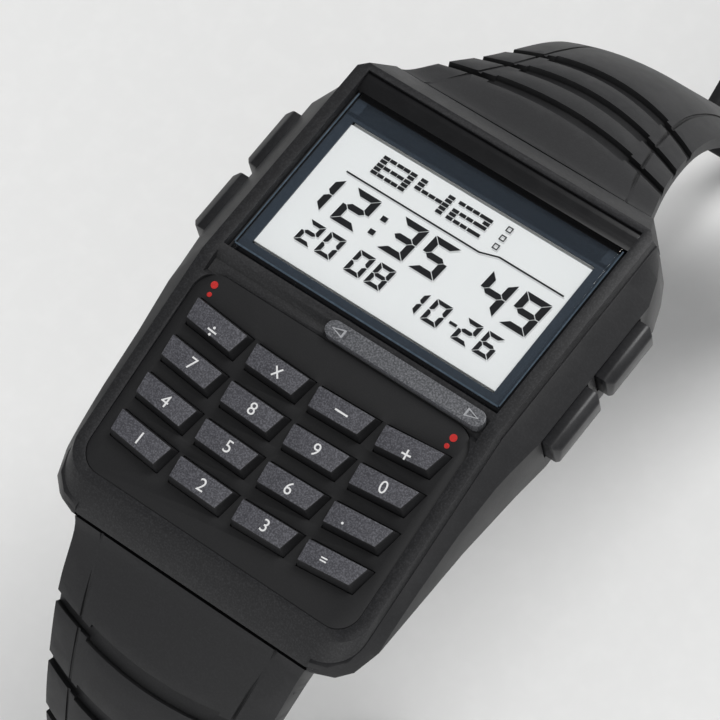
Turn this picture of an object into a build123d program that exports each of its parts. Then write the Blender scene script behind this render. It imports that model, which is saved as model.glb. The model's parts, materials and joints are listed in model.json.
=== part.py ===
from build123d import *
import os
from math import cos, sin, sqrt, radians, degrees

# Wrist calculator watch, stood face up on its open strap.
# Everything is drawn with X towards 3 o'clock, Y towards 12 o'clock and Z out of the face,
# with Z = 0 on the top of the display rails, and moved onto the table at the end.

# Fits shared by several pieces
overrun = 5.0
running_gap = 0.05
part_gap = 0.10
hair_gap = 0.04

# Top frame: display rails, sloped keypad rails and the two ends
rail_half = 15.5
rail_foot_half = 15.75
rail_wall_drop = 0.95
frame_thick = 2.6
kink_y = 2.9
crease_12_y = 25.0
end_12_y = 26.8
end_12_drop = 2.0
corner_12_inset = 2.2
corner_12_crease_inset = 0.75
face_slope = 14.8
key_slope = 13.9
face_length = 21.4
corner_6_radius = 3.0
apron_run = 2.75
apron_spread = 0.9
apron_drop = 1.35
apron_thick = 1.0
apron_root_share = 1.3
end_lip_thick = 0.75

# Case body around and under the top frame
shoulder_half = 17.8
shoulder_top = 20.2
shoulder_bottom = 5.2
shoulder_drop = 2.75
neck_y = 1.6
neck_half = 17.4
waist_y = -5.0
waist_half = 16.9
heel_y = -15.8
heel_half = 16.6
heel_corner_half = 16.0
heel_corner_y = -18.3
heel_round_half = 15.0
heel_round_y = -19.5
toe_half = 13.0
toe_y = -20.3
horn_half = 13.6
horn_y = 26.3
horn_side_half = 15.9
horn_side_y = 24.4
brow_half = 16.9
brow_y = 22.6
guard_drop = 2.2
guard_length = 14.0
guard_half = 16.6
side_foot_z = -7.2
body_bottom_z = -9.1
bottom_inset = 1.9
heel_inset = 0.8
cavity_half = 13.7
cavity_top_y = 21.0
cavity_bottom_y = -14.0
cavity_corner = 1.6
collar_room_half = 14.9

# Case back, its seal and its screws
back_thick = 0.9
back_flange = 0.9
seal_thick = 0.25
seal_width = 0.7
screw_head_radius = 1.0
screw_head_height = 0.5
screw_shank_radius = 0.55
screw_bite = 1.0
screw_inset = 1.7
boss_wall = 0.7
boss_cap = 0.4
screw_slot_width = 0.35
screw_slot_depth = 0.25

# Display: opening, glass, printed mask, liquid crystal panel and light panel
opening_half = 14.35
opening_bottom_y = 4.35
opening_top_y = 24.4
glass_gap = 0.40
glass_drop = 0.55
glass_thick = 0.7
glass_edge = 0.35
glass_roll_run = 1.4
glass_roll_drop = 0.42
glass_roll_shares = (0.42, 0.22)
seal_ring_thick = 0.20
seal_ring_drop = 0.10
mask_thick = 0.15
window_half = 12.62
window_bottom_y = 6.2
window_top_y = 20.05
window_corner = 0.5
ledge_half = 13.25
ledge_bottom_y = 5.75
ledge_top_y = 20.5
panel_half = 13.0
panel_bottom_y = 5.95
panel_top_y = 20.3
panel_thick = 1.8
panel_film_step = 0.45
light_half = 12.4
light_inset_y = 1.6
light_thick = 0.5

# Lip between display and keypad, with the blank raised plate
lip_front_y = 3.6
lip_wall_run = 0.5
lip_wall_drop = 0.75
lip_foot_y = 1.95
lip_foot_drop = 0.95
badge_left = -2.3
badge_right = 14.0
badge_bottom_y = 2.3
badge_height = 1.6
badge_rise = 0.10
badge_thick = 0.95
badge_arrow_length = 1.6
badge_arrow_width = 0.9
badge_arrow_inset = 0.55
badge_arrow_depth = 0.10

# Keypad plate, keys, rubber sheet and contact board, in the sloped keypad frame
plate_recess = 0.35
plate_thick = 0.7
plate_half = 14.3
plate_top = -0.95
plate_bottom = -20.45
plate_corner = 2.2
plate_ledge = 0.5
plate_ledge_top = 1.0
plate_ledge_bottom = 2.0
key_rows = 4
key_columns = 4
key_pitch_x = 6.743
key_pitch_y = 3.723
key_width = 5.68
key_depth = 1.93
key_first_row = 4.43
key_row_bow = 0.00465
key_rise = 0.70
key_left_cut = 0.115
key_right_cut = 0.58
key_flare_front = 0.40
key_flare_back = 0.10
key_flare_left = 0.15
key_flare_right = 0.25
key_flange = 0.25
key_flange_thick = 0.40
key_travel = 0.6
key_side_gap = 0.08
sheet_thick = 0.5
sheet_half = 13.5
sheet_top = -2.2
sheet_bottom = -16.9
dome_radius = 0.8
dome_height = 0.35
board_thick = 0.5

# Electronics inside the body
holder_half = 13.5
holder_top_y = 20.75
holder_bottom_y = 1.4
circuit_top_z = -4.9
circuit_thick = 0.6
circuit_half = 13.3
tray_bottom_z = -8.6
cell_radius = 8.0
cell_thick = 1.6
cell_x = -4.9
cell_y = 11.1
cell_rim = 0.5
clip_thick = 0.2
clip_width = 4.0
chip_side = 5.0
chip_height = 0.9
chip_x = 8.2
chip_y = 14.6
quartz_radius = 0.75
quartz_length = 5.0
quartz_x = 8.2
quartz_y = 10.2
sounder_radius = 4.4
sounder_thick = 0.3
sounder_x = 8.2
sounder_y = 5.4
contact_radius = 0.6
strip_width = 0.9
strip_length = 22.0
wedge_thick = 1.1
leaf_thick = 0.2
leaf_width = 2.0
leaf_foot = 1.2
leaf_rise = 1.6

# Side pushers
pusher_length = 6.2
pusher_upper_y = 15.75
pusher_lower_y = 8.45
pusher_height = 2.6
pusher_mid_z = -4.25
pusher_stand = 1.6
pusher_bevel = 0.5
pusher_head_depth = 2.1
pusher_travel = 0.6
pusher_side_gap = 0.12
pusher_stem_radius = 0.6
pusher_collar_radius = 1.2
pusher_collar_thick = 0.5
spring_wire = 0.20
spring_mean_radius = 0.88
spring_turns = 3
spring_well_radius = 1.08
spring_well_depth = 0.6
guard_window = 0.3

# Spring bars and the rocking strap ends
bar_radius = 0.8
bar_tip_radius = 0.45
bar_tip_length = 0.9
pivot_12_y = 24.4
pivot_12_z = -5.6
pivot_6_y = -17.3
pivot_6_z = -8.9
knuckle_radius = 1.85
knuckle_clear = 0.30
butt_gap = 0.30

# Strap: outer surface runs of radius and turn, then a straight run
strap_thick = 2.7
strap_edge_thick = 1.1
strap_end_thick = 3.2
strap_12_half = 13.15
strap_6_half = 12.3
strap_tail_half = 9.0
strap_12_taper = 17.0
strap_6_taper = 34.0
taper_shares = ((0, 1), (0.25, 0.62), (0.5, 0.32), (0.75, 0.12), (1, 0))
crown_shares = ((0, 0.08), (0.08, 0.65), (0.16, 1), (0.5, 1), (0.8, 0.1), (1, 0.05))
strap_12_slope = 23.0
strap_12_radii = (57.0, 24.5)
strap_12_turns = (12.8, 29.7)
strap_6_slope = 35.0
strap_6_radii = (60.0, 27.0, 120.0, 16.5)
strap_6_turns = (8.0, 31.0, 16.6, 89.4)
strap_tail_length = 18.0
strap_stations = 20
tail_tip_radius = 8.0
groove_first = 4.2
groove_pitch = 3.9
groove_6_first = 7.4
groove_6_pitch = 6.2
groove_count = 3
groove_width = 1.0
groove_wide = 1.7
groove_wide_share = 0.62
groove_depth = 0.6
groove_bow = 1.6
web_lean = 20.0
web_reach_share = 0.9
end_web_drop = 1.25
hole_length = 3.2
hole_width = 2.0
hole_pitch = 5.6
hole_count = 6
hole_start = 7.0

# Buckle, prong and loose loop
buckle_bar_radius = 0.75
buckle_eye_radius = 1.5
buckle_corner = 2.1
buckle_inner_half = 9.4
buckle_outer_half = 11.6
buckle_reach = 11.5
buckle_bar_width = 2.2
buckle_thick = 1.9
prong_width = 1.8
prong_thick = 1.1
prong_slot = 0.35
prong_eye_radius = 1.35
loop_width = 4.4
loop_wall = 1.3
loop_gap = 0.3
loop_rest = 2.0
loop_back_room = 2.95


def yz_face(points):
    """Face in the side plane from (y, z) points."""
    return Plane.YZ * make_face(Polyline(*points, close=True))


def side_prism(points, half_width):
    """Side outline drawn from (y, z) points and thickened to both sides of X = 0."""
    return extrude(yz_face(points), amount=half_width, both=True)


def front_prism(points, y_low, y_high):
    """Front outline drawn from (x, z) points and run along Y."""
    face = Plane.XZ * make_face(Polyline(*points, close=True))
    return Pos(0, y_high, 0) * extrude(face, amount=y_high - y_low)


def plan_face(points, z=0.0):
    """Face seen from above from (x, y) points at height z."""
    return Pos(0, 0, z) * make_face(Polyline(*points, close=True))


def mirrored(points):
    """Outline of the right half, top to bottom, closed by its mirror image."""
    return points + [(-x, y) for x, y in reversed(points)]


def rounded_box(half_x, y_low, y_high, z_low, z_high, radius):
    """Box with upright corners rounded."""
    shape = RectangleRounded(2 * half_x, y_high - y_low, radius)
    return Pos(0, (y_low + y_high) / 2, z_low) * extrude(shape, amount=z_high - z_low)


def plain_box(x_low, x_high, y_low, y_high, z_low, z_high):
    """Box between two corners."""
    middle = Pos((x_low + x_high) / 2, (y_low + y_high) / 2, (z_low + z_high) / 2)
    return middle * Box(x_high - x_low, y_high - y_low, z_high - z_low)


def x_rod(radius, x_low, x_high, y, z):
    """Round rod along X."""
    return Pos((x_low + x_high) / 2, y, z) * Rot(0, 90, 0) * Cylinder(radius, x_high - x_low)


def z_disc(radius, z_low, z_high, x, y):
    """Round disc standing along Z."""
    return Pos(x, y, (z_low + z_high) / 2) * Cylinder(radius, z_high - z_low)


def tilted(slope):
    """Working plane hinged on the frame's kink that falls towards 6 o'clock."""
    a = radians(slope)
    return Plane(origin=(0, kink_y, 0), x_dir=(1, 0, 0), z_dir=(0, -sin(a), cos(a)))


def tilted_point(slope, along, height):
    """World (y, z) of a point of a tilted plane, along towards 12 o'clock."""
    a = radians(slope)
    return kink_y + along * cos(a) - height * sin(a), along * sin(a) + height * cos(a)


face_plane = tilted(face_slope)
key_plane = tilted(key_slope)

# Edges of the two ends, as (y, z)
band_12_low = (end_12_y, -end_12_drop)
band_6_top = tilted_point(face_slope, -face_length, 0)
band_6_low = tilted_point(face_slope, -face_length - apron_run, -apron_drop)


def unit(a, b):
    """Unit vector from a to b."""
    length = sqrt((b[0] - a[0]) ** 2 + (b[1] - a[1]) ** 2)
    return (b[0] - a[0]) / length, (b[1] - a[1]) / length


def shifted(point, direction, distance):
    """Point moved along a direction."""
    return point[0] + direction[0] * distance, point[1] + direction[1] * distance


band_12_run = unit((crease_12_y, 0), band_12_low)
band_12_in = (-abs(band_12_run[1]), -abs(band_12_run[0]))
band_6_run = unit(band_6_top, band_6_low)
band_6_in = (abs(band_6_run[1]), -abs(band_6_run[0]))
lip_12_in = shifted(band_12_low, band_12_in, end_lip_thick)
apron_in = shifted(band_6_low, band_6_in, apron_thick)


# Top frame
def display_block():
    """Flat display half of the top frame, as a solid block without openings."""
    def ring(half, top_y, side_inset):
        return mirrored([(half - side_inset, top_y), (half, top_y - side_inset), (half, kink_y - overrun)])
    upper = loft([plan_face(ring(rail_half, crease_12_y, corner_12_crease_inset)),
                  plan_face(ring(rail_foot_half, end_12_y, corner_12_inset), -end_12_drop)], ruled=True)
    lower = extrude(plan_face(ring(rail_foot_half, end_12_y, corner_12_inset), -end_12_drop),
                    amount=-overrun)
    return upper + lower


def keypad_block():
    """Sloped keypad half of the top frame, as a solid block without openings."""
    def ring(half, low, radius):
        long = low + overrun * 2
        return Pos(0, overrun * 2 - long / 2, 0) * RectangleRounded(2 * half, long, radius)
    top = face_plane * ring(rail_half, face_length, corner_6_radius)
    foot = face_plane * Pos(0, 0, -apron_drop) * ring(rail_foot_half, face_length + apron_run,
                                                      corner_6_radius + apron_spread)
    upper = loft([top, foot], ruled=True)
    lower = extrude(foot, amount=-overrun, dir=face_plane.z_dir)
    return upper + lower


def frame_block():
    """Whole outside of the top frame, flat underneath, without openings."""
    half_room = rail_foot_half + overrun
    display_room = plain_box(-half_room, half_room, kink_y, end_12_y + overrun, -overrun, overrun)
    keypad_room = plain_box(-half_room, half_room, toe_y - overrun, kink_y, -3 * overrun, overrun)
    block = (display_block() & display_room) + (keypad_block() & keypad_room)
    kink_under = tilted_point(face_slope, 0, -frame_thick)
    thin_y = pivot_6_y + knuckle_radius + 2 * knuckle_clear
    thin_along = (thin_y - kink_y) / cos(radians(face_slope))
    thick_point = tilted_point(face_slope, thin_along, -frame_thick)
    thin_point = tilted_point(face_slope, thin_along, -apron_thick * apron_root_share)
    bend_point = shifted(band_6_top, (0, -1), apron_thick * apron_root_share)
    side = [
        (kink_y, overrun),
        (end_12_y + overrun, overrun),
        (end_12_y + overrun, -end_12_drop),
        band_12_low,
        lip_12_in,
        (lip_12_in[0], -frame_thick),
        (kink_under[0], -frame_thick),
        thick_point,
        thin_point,
        bend_point,
        apron_in,
        band_6_low,
        shifted(band_6_low, band_6_run, overrun),
        (toe_y - 2 * overrun, overrun),
    ]
    return block & side_prism(side, half_room)


def pill(x_low, x_high, y_low, height, z_low, z_high):
    """Pill outline run up along Z."""
    shape = SlotOverall(x_high - x_low, height)
    place = Pos((x_low + x_high) / 2, y_low + height / 2, z_low)
    return place * extrude(shape, amount=z_high - z_low)


def plate_outline(half, top, bottom, radius, low, high):
    """Rounded outline in the keypad frame, between two heights."""
    shape = RectangleRounded(2 * half, top - bottom, radius)
    return key_plane * Pos(0, (top + bottom) / 2, low) * extrude(shape, amount=high - low)


def make_top_frame():
    frame = frame_block()
    glass_low = -glass_drop - glass_thick - mask_thick
    frame -= plain_box(-opening_half, opening_half, opening_bottom_y, opening_top_y, glass_low, overrun)
    frame -= plain_box(-ledge_half, ledge_half, ledge_bottom_y, ledge_top_y, -overrun, overrun)
    front = [
        (lip_front_y, overrun),
        (lip_front_y, 0),
        (lip_front_y - lip_wall_run, -lip_wall_drop),
        (lip_foot_y, -lip_foot_drop),
        (lip_foot_y - overrun, -lip_foot_drop + overrun),
    ]
    frame -= side_prism(front, plate_half)
    frame -= plate_outline(plate_half + part_gap / 2, plate_top + part_gap / 2, plate_bottom - hair_gap,
                           plate_corner, -plate_recess - plate_thick, overrun)
    frame -= plate_outline(plate_half - plate_ledge, plate_top - plate_ledge_top,
                           plate_bottom + plate_ledge_bottom, plate_corner / 2, -overrun, 0)
    frame -= pill(badge_left, badge_right, badge_bottom_y, badge_height,
                  badge_rise - badge_thick, overrun)
    return frame


def make_badge_plate():
    badge = pill(badge_left, badge_right, badge_bottom_y, badge_height,
                 badge_rise - badge_thick, badge_rise)
    middle = badge_bottom_y + badge_height / 2
    for end, way in ((badge_left, 1), (badge_right, -1)):
        tip = end + way * badge_arrow_inset
        base = tip + way * badge_arrow_length
        arrow = [(tip, middle), (base, middle - badge_arrow_width / 2), (base, middle + badge_arrow_width / 2)]
        badge -= extrude(plan_face(arrow, badge_rise - badge_arrow_depth), amount=overrun)
    return badge


# Case body
body_right = [
    (horn_half, horn_y),
    (horn_side_half, horn_side_y),
    (brow_half, brow_y),
    (shoulder_half, shoulder_top),
    (shoulder_half, shoulder_bottom),
    (neck_half, neck_y),
    (waist_half, waist_y),
    (heel_half, heel_y),
    (heel_corner_half, heel_corner_y),
    (heel_round_half, heel_round_y),
    (toe_half, toe_y),
]


def body_outline(limit=shoulder_half):
    """Widest outline of the body, or the same outline kept within a half width."""
    return mirrored([(min(x, limit), y) for x, y in body_right])


def under_outline():
    """Outline of the body's flat underside, drawn in less at the 6 o'clock end."""
    points = []
    for x, y in body_right:
        inset = heel_inset if y < waist_y else bottom_inset
        points.append((x - inset, y - inset * y / (abs(y) + shoulder_half)))
    return mirrored(points)


def make_body_outside():
    rim = plan_face(body_outline(rail_foot_half), -rail_wall_drop)
    shoulder = plan_face(body_outline(), -shoulder_drop)
    foot = plan_face(body_outline(), side_foot_z)
    under = plan_face(under_outline(), body_bottom_z)
    outside = loft([rim, shoulder], ruled=True)
    outside += extrude(shoulder, amount=side_foot_z + shoulder_drop)
    outside += loft([foot, under], ruled=True)

    def sloped(shoulder, half, spread, drop):
        """Outline on the sloped face plane at a drop, rounded at the 6 o'clock corners."""
        radius = corner_6_radius + spread
        low = -face_length - apron_run + apron_spread - spread
        heel = [(half - radius + radius * cos(radians(angle)), low + radius - radius * sin(radians(angle)))
                for angle in (0, 30, 60, 90)]
        points = [(shoulder, overrun * 8), (shoulder, -guard_length)] + heel
        return face_plane * plan_face(mirrored(points), -drop)
    rim_cut = sloped(rail_foot_half, rail_foot_half, apron_spread / 2, rail_wall_drop)
    guard_cut = sloped(shoulder_half, guard_half, 2 * apron_spread, guard_drop)
    roof = loft([rim_cut, guard_cut], ruled=True)
    roof += extrude(guard_cut, amount=-overrun * 4, dir=face_plane.z_dir)
    outside &= roof
    half_room = shoulder_half + overrun
    return outside - plain_box(-half_room, half_room, horn_side_y, horn_y + overrun, -end_12_drop, overrun)


def knuckle_room(y, side, half):
    """Space between the horns that a strap end rocks in."""
    reach = knuckle_radius + knuckle_clear
    inner = y - side * reach
    low, high = min(inner, y + side * 3 * overrun), max(inner, y + side * 3 * overrun)
    return plain_box(-half, half, low, high, body_bottom_z - overrun, 0)


def make_case_body(frame_solid):
    body = make_body_outside()
    body -= frame_solid
    body -= rounded_box(cavity_half, cavity_bottom_y, cavity_top_y, body_bottom_z - overrun, 0, cavity_corner)
    body += back_bosses(0.0) & plain_box(-cavity_half, cavity_half, cavity_bottom_y, cavity_top_y,
                                         body_bottom_z, 0)
    body -= knuckle_room(pivot_12_y, 1, strap_12_half + part_gap)
    body -= knuckle_room(pivot_6_y, -1, strap_6_half + part_gap)
    body -= x_rod(bar_tip_radius + running_gap, -bar_12_half, bar_12_half, pivot_12_y, pivot_12_z)
    body -= x_rod(bar_tip_radius + running_gap, -bar_6_half, bar_6_half, pivot_6_y, pivot_6_z)
    for _, side, y in pusher_places:
        body -= pusher_slot(side, y)
    for x, y in screw_places:
        body -= z_disc(screw_shank_radius, body_bottom_z - overrun, body_bottom_z + screw_bite, x, y)
    return body


bar_12_half = strap_12_half + part_gap + bar_tip_length
bar_6_half = strap_6_half + part_gap + bar_tip_length
screw_places = [
    (side * (cavity_half - screw_inset), y)
    for side in (-1, 1)
    for y in (cavity_top_y - screw_inset, cavity_bottom_y + screw_inset)
]
back_half = cavity_half + back_flange
back_top_y = cavity_top_y + back_flange
back_bottom_y = cavity_bottom_y - back_flange
back_corner = cavity_corner + back_flange
back_high_z = body_bottom_z - seal_thick
back_low_z = back_high_z - back_thick


def back_bosses(extra):
    """Corner bosses that the back screws bite into, ribbed to the walls, grown by an extra."""
    bosses = Part()
    radius = screw_shank_radius + boss_wall + extra
    top_z = body_bottom_z + screw_bite + boss_cap + extra
    for x, y in screw_places:
        wall_x = (cavity_half + overrun) * (1 if x > 0 else -1)
        wall_y = cavity_top_y + overrun if y > 0 else cavity_bottom_y - overrun
        bosses += z_disc(radius, back_high_z, top_z, x, y)
        bosses += plain_box(min(x, wall_x), max(x, wall_x), y - radius, y + radius, back_high_z, top_z)
        bosses += plain_box(x - radius, x + radius, min(y, wall_y), max(y, wall_y), back_high_z, top_z)
    return bosses


def make_case_back():
    plate = rounded_box(back_half, back_bottom_y, back_top_y, back_low_z, back_high_z, back_corner)
    for x, y in screw_places:
        plate -= z_disc(screw_head_radius + part_gap, back_low_z - overrun, back_low_z + screw_head_height, x, y)
        plate -= z_disc(screw_shank_radius + part_gap, back_low_z, back_high_z, x, y)
    return plate


def make_back_seal():
    """Flat ring squeezed between the body and its back."""
    def outline(grow):
        return rounded_box(cavity_half + grow, cavity_bottom_y - grow, cavity_top_y + grow,
                           back_high_z, body_bottom_z, cavity_corner + grow)
    return outline(part_gap + seal_width) - outline(part_gap)


def make_back_screws():
    screws = Part()
    for x, y in screw_places:
        screw = z_disc(screw_head_radius, back_low_z, back_low_z + screw_head_height, x, y)
        screw += z_disc(screw_shank_radius, back_low_z, body_bottom_z + screw_bite - part_gap, x, y)
        screw -= plain_box(x - screw_head_radius, x + screw_head_radius, y - screw_slot_width / 2,
                           y + screw_slot_width / 2, back_low_z, back_low_z + screw_slot_depth)
        screws += screw
    return screws


# Display
glass_half = opening_half - glass_gap
glass_bottom_y = opening_bottom_y + glass_gap
glass_top_y = opening_top_y - glass_gap
glass_low_z = -glass_drop - glass_thick
mask_low_z = glass_low_z - mask_thick
panel_low_z = mask_low_z - panel_thick
light_low_z = panel_low_z - light_thick


def make_crystal():
    top = -glass_drop
    roll_mid = (glass_top_y - glass_roll_run * glass_roll_shares[0],
                top - glass_roll_drop * glass_roll_shares[1])
    edge = [
        Line((glass_bottom_y, glass_low_z), (glass_bottom_y, top - glass_edge)),
        Line((glass_bottom_y, top - glass_edge), (glass_bottom_y + glass_edge, top)),
        Line((glass_bottom_y + glass_edge, top), (glass_top_y - glass_roll_run, top)),
        ThreePointArc((glass_top_y - glass_roll_run, top), roll_mid, (glass_top_y, top - glass_roll_drop)),
        Line((glass_top_y, top - glass_roll_drop), (glass_top_y, glass_low_z)),
        Line((glass_top_y, glass_low_z), (glass_bottom_y, glass_low_z)),
    ]
    crystal = extrude(Plane.YZ * make_face(edge), amount=glass_half, both=True)
    front = [
        (-glass_half, glass_low_z),
        (-glass_half, top - glass_edge),
        (-glass_half + glass_edge, top),
        (glass_half - glass_edge, top),
        (glass_half, top - glass_edge),
        (glass_half, glass_low_z),
    ]
    return crystal & front_prism(front, glass_bottom_y, glass_top_y)


def make_crystal_seal():
    outer = glass_gap / 2 + seal_ring_thick / 2
    inner = glass_gap / 2 - seal_ring_thick / 2
    top = -glass_drop - glass_edge - seal_ring_drop
    ring = plain_box(-glass_half - outer, glass_half + outer, glass_bottom_y - outer, glass_top_y + outer,
                     mask_low_z, top)
    ring -= plain_box(-glass_half - inner, glass_half + inner, glass_bottom_y - inner, glass_top_y + inner,
                      mask_low_z, top)
    return ring


def make_display_mask():
    mask = plain_box(-glass_half, glass_half, glass_bottom_y, glass_top_y, mask_low_z, glass_low_z)
    mask -= rounded_box(window_half, window_bottom_y, window_top_y, mask_low_z, glass_low_z, window_corner)
    return mask


def make_lcd_panel():
    """Two glass plates, the lower one longer, where the contact strips press."""
    step_z = mask_low_z - panel_film_step
    upper = plain_box(-panel_half, panel_half, panel_bottom_y + panel_film_step, panel_top_y - panel_film_step,
                      step_z, mask_low_z)
    lower = plain_box(-panel_half, panel_half, panel_bottom_y, panel_top_y, panel_low_z, step_z)
    return upper + lower


def make_light_panel():
    return plain_box(-light_half, light_half, panel_bottom_y + light_inset_y, panel_top_y - light_inset_y,
                     light_low_z, panel_low_z)


# Keypad, in the sloped frame
plate_low = -plate_recess - plate_thick
key_foot = -plate_recess
sheet_high = -frame_thick
board_high = sheet_high - sheet_thick
board_low = board_high - board_thick


def key_corner(x, row, depth):
    """Keypad-frame place of a key edge: rows bow towards 6 o'clock in the middle."""
    return x, -(key_first_row + row * key_pitch_y - key_row_bow * x * x) - depth


def key_outline(row, column, grow_front=0.0, grow_back=0.0, grow_left=0.0, grow_right=0.0):
    """Four corners of a key top, or of its foot where it is grown."""
    middle = (column - (key_columns - 1) / 2) * key_pitch_x
    left = middle - key_width / 2
    right = middle + key_width / 2
    x0, y0 = key_corner(left, row, 0)
    x1, y1 = key_corner(right, row, 0)
    x2, y2 = key_corner(right, row, key_depth)
    x3, y3 = key_corner(left, row, key_depth)
    return [
        (x0 - grow_left, y0 + grow_back),
        (x1 + grow_right, y1 + grow_back),
        (x2 - key_right_cut + grow_right, y2 - grow_front),
        (x3 + key_left_cut - grow_left, y3 - grow_front),
    ]


def key_foot_outline(row, column, extra=0.0):
    """Foot of a key, with an even margin added."""
    return key_outline(row, column, key_flare_front + extra, key_flare_back + extra,
                       key_flare_left + extra, key_flare_right + extra)


def keypad_face(points, height):
    """Face in the keypad frame at a height over it."""
    return key_plane * plan_face(points, height)


def make_key(row, column):
    foot = keypad_face(key_foot_outline(row, column), key_foot)
    cap = loft([foot, keypad_face(key_outline(row, column), key_rise)], ruled=True)
    cap += extrude(foot, amount=plate_thick + running_gap, dir=-key_plane.z_dir)
    flange_top = plate_low - running_gap
    flange = keypad_face(key_foot_outline(row, column, key_flange), flange_top)
    cap += extrude(flange, amount=key_flange_thick, dir=-key_plane.z_dir)
    return cap


def make_keypad_plate():
    plate = plate_outline(plate_half, plate_top, plate_bottom, plate_corner, plate_low, -plate_recess)
    for row in range(key_rows):
        for column in range(key_columns):
            hole = keypad_face(key_foot_outline(row, column, key_side_gap), plate_low - overrun / 2)
            plate -= extrude(hole, amount=overrun, dir=key_plane.z_dir)
    return plate


def make_key_sheet():
    sheet = plate_outline(sheet_half, sheet_top, sheet_bottom, cavity_corner, board_high, sheet_high)
    for row in range(key_rows):
        for column in range(key_columns):
            corners = key_outline(row, column)
            x = sum(p[0] for p in corners) / len(corners)
            y = sum(p[1] for p in corners) / len(corners)
            y = max(y, sheet_bottom + dome_radius)
            dome = Pos(x, y, sheet_high + dome_height / 2) * Cylinder(dome_radius, dome_height)
            sheet += key_plane * dome
    return sheet


def make_key_board():
    return plate_outline(sheet_half, sheet_top, sheet_bottom, cavity_corner, board_low, board_high)


# Electronics
circuit_low_z = circuit_top_z - circuit_thick
cell_top_z = circuit_low_z - clip_thick
cell_low_z = cell_top_z - cell_thick
inside_floor_z = back_high_z


def make_module_holder():
    """Moulded holder: a frame round the display panel and a wedge under the keypad board."""
    holder = rounded_box(holder_half, holder_bottom_y, holder_top_y, circuit_top_z, -frame_thick,
                         cavity_corner)
    holder -= plain_box(-panel_half - part_gap, panel_half + part_gap, panel_bottom_y - part_gap,
                        panel_top_y + part_gap, panel_low_z, 0)
    light_y = panel_bottom_y + light_inset_y
    holder -= plain_box(-light_half - part_gap, light_half + part_gap, light_y - part_gap,
                        panel_top_y - light_inset_y + part_gap, light_low_z, 0)
    for y in strip_rows:
        holder -= plain_box(-strip_length / 2 - part_gap, strip_length / 2 + part_gap,
                            y - strip_width / 2 - part_gap, y + strip_width / 2 + part_gap, circuit_top_z, 0)
    holder -= plate_outline(holder_half + overrun, 2 * overrun, sheet_bottom - overrun, plate_corner / 2,
                            board_low, overrun)
    wedge_y, wedge_z = tilted_point(key_slope, sheet_bottom, board_low)
    start_y, start_z = tilted_point(key_slope, sheet_top + plate_ledge_top, board_low)
    wedge = side_prism([
        (start_y, start_z),
        (wedge_y, wedge_z),
        (wedge_y, inside_floor_z),
        (wedge_y + wedge_thick, inside_floor_z),
        (start_y - wedge_thick, circuit_low_z - wedge_thick),
        (start_y, circuit_low_z - wedge_thick),
    ], holder_half)
    wedge -= plain_box(-holder_half, holder_half, holder_bottom_y, start_y + overrun,
                       circuit_low_z - overrun, circuit_top_z)
    wedge -= back_bosses(part_gap)
    holder += wedge
    for _, side, y in pusher_places:
        room = leaf_outline(side, y, part_gap)
        holder -= room
    return holder


strip_rows = (panel_bottom_y + light_inset_y / 2, panel_top_y - light_inset_y / 2)


def make_contact_strips():
    strips = Part()
    for y in strip_rows:
        strips += plain_box(-strip_length / 2, strip_length / 2, y - strip_width / 2, y + strip_width / 2,
                            circuit_top_z, panel_low_z)
    return strips


def make_circuit_board():
    return rounded_box(circuit_half, holder_bottom_y + part_gap, holder_top_y - part_gap,
                       circuit_low_z, circuit_top_z, cavity_corner)


def make_cell_tray():
    """Lower tray that holds the cell, with windows for the chip, crystal can and sounder contact."""
    tray = rounded_box(circuit_half, holder_bottom_y + part_gap, holder_top_y - part_gap,
                       tray_bottom_z, circuit_low_z, cavity_corner)
    tray -= z_disc(cell_radius + part_gap, tray_bottom_z - overrun, 0, cell_x, cell_y)
    window_left = chip_x - chip_side / 2 - part_gap * 2
    window_right = chip_x + chip_side / 2 + part_gap * 2
    tray -= plain_box(window_left, window_right, sounder_y - contact_radius - part_gap,
                      chip_y + chip_side / 2 + 2 * part_gap, tray_bottom_z - overrun, 0)
    return tray - back_bosses(part_gap)


def make_battery():
    cell = z_disc(cell_radius, cell_low_z + cell_rim, cell_top_z, cell_x, cell_y)
    return cell + z_disc(cell_radius - cell_rim, cell_low_z, cell_low_z + cell_rim, cell_x, cell_y)


def make_battery_ring():
    """Flat ring contact between the cell and the circuit board."""
    ring = z_disc(cell_radius - cell_rim, cell_top_z, circuit_low_z, cell_x, cell_y)
    return ring - z_disc(cell_radius - cell_rim - clip_width / 2, cell_top_z, circuit_low_z, cell_x, cell_y)


def make_battery_clip():
    """Strap under the cell with a raised middle that springs against the case back."""
    half = clip_width / 2
    clip = plain_box(cell_x - half, cell_x + half, cell_y - cell_radius + cell_rim,
                     cell_y + cell_radius - cell_rim, cell_low_z - clip_thick, cell_low_z)
    clip += plain_box(cell_x - half, cell_x + half, cell_y - half, cell_y + half,
                      inside_floor_z, cell_low_z - clip_thick)
    clip -= plain_box(cell_x - clip_width, cell_x + clip_width, cell_y - half + clip_thick,
                      cell_y + half - clip_thick, inside_floor_z + clip_thick, cell_low_z - clip_thick)
    return clip


def make_chip():
    half = chip_side / 2
    return plain_box(chip_x - half, chip_x + half, chip_y - half, chip_y + half,
                     circuit_low_z - chip_height, circuit_low_z)


def make_quartz_can():
    half = quartz_length / 2
    return x_rod(quartz_radius, quartz_x - half, quartz_x + half, quartz_y, circuit_low_z - quartz_radius)


def make_sounder():
    return z_disc(sounder_radius, inside_floor_z, inside_floor_z + sounder_thick, sounder_x, sounder_y)


def make_sounder_contact():
    return z_disc(contact_radius, inside_floor_z + sounder_thick, circuit_low_z, sounder_x, sounder_y)


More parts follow.
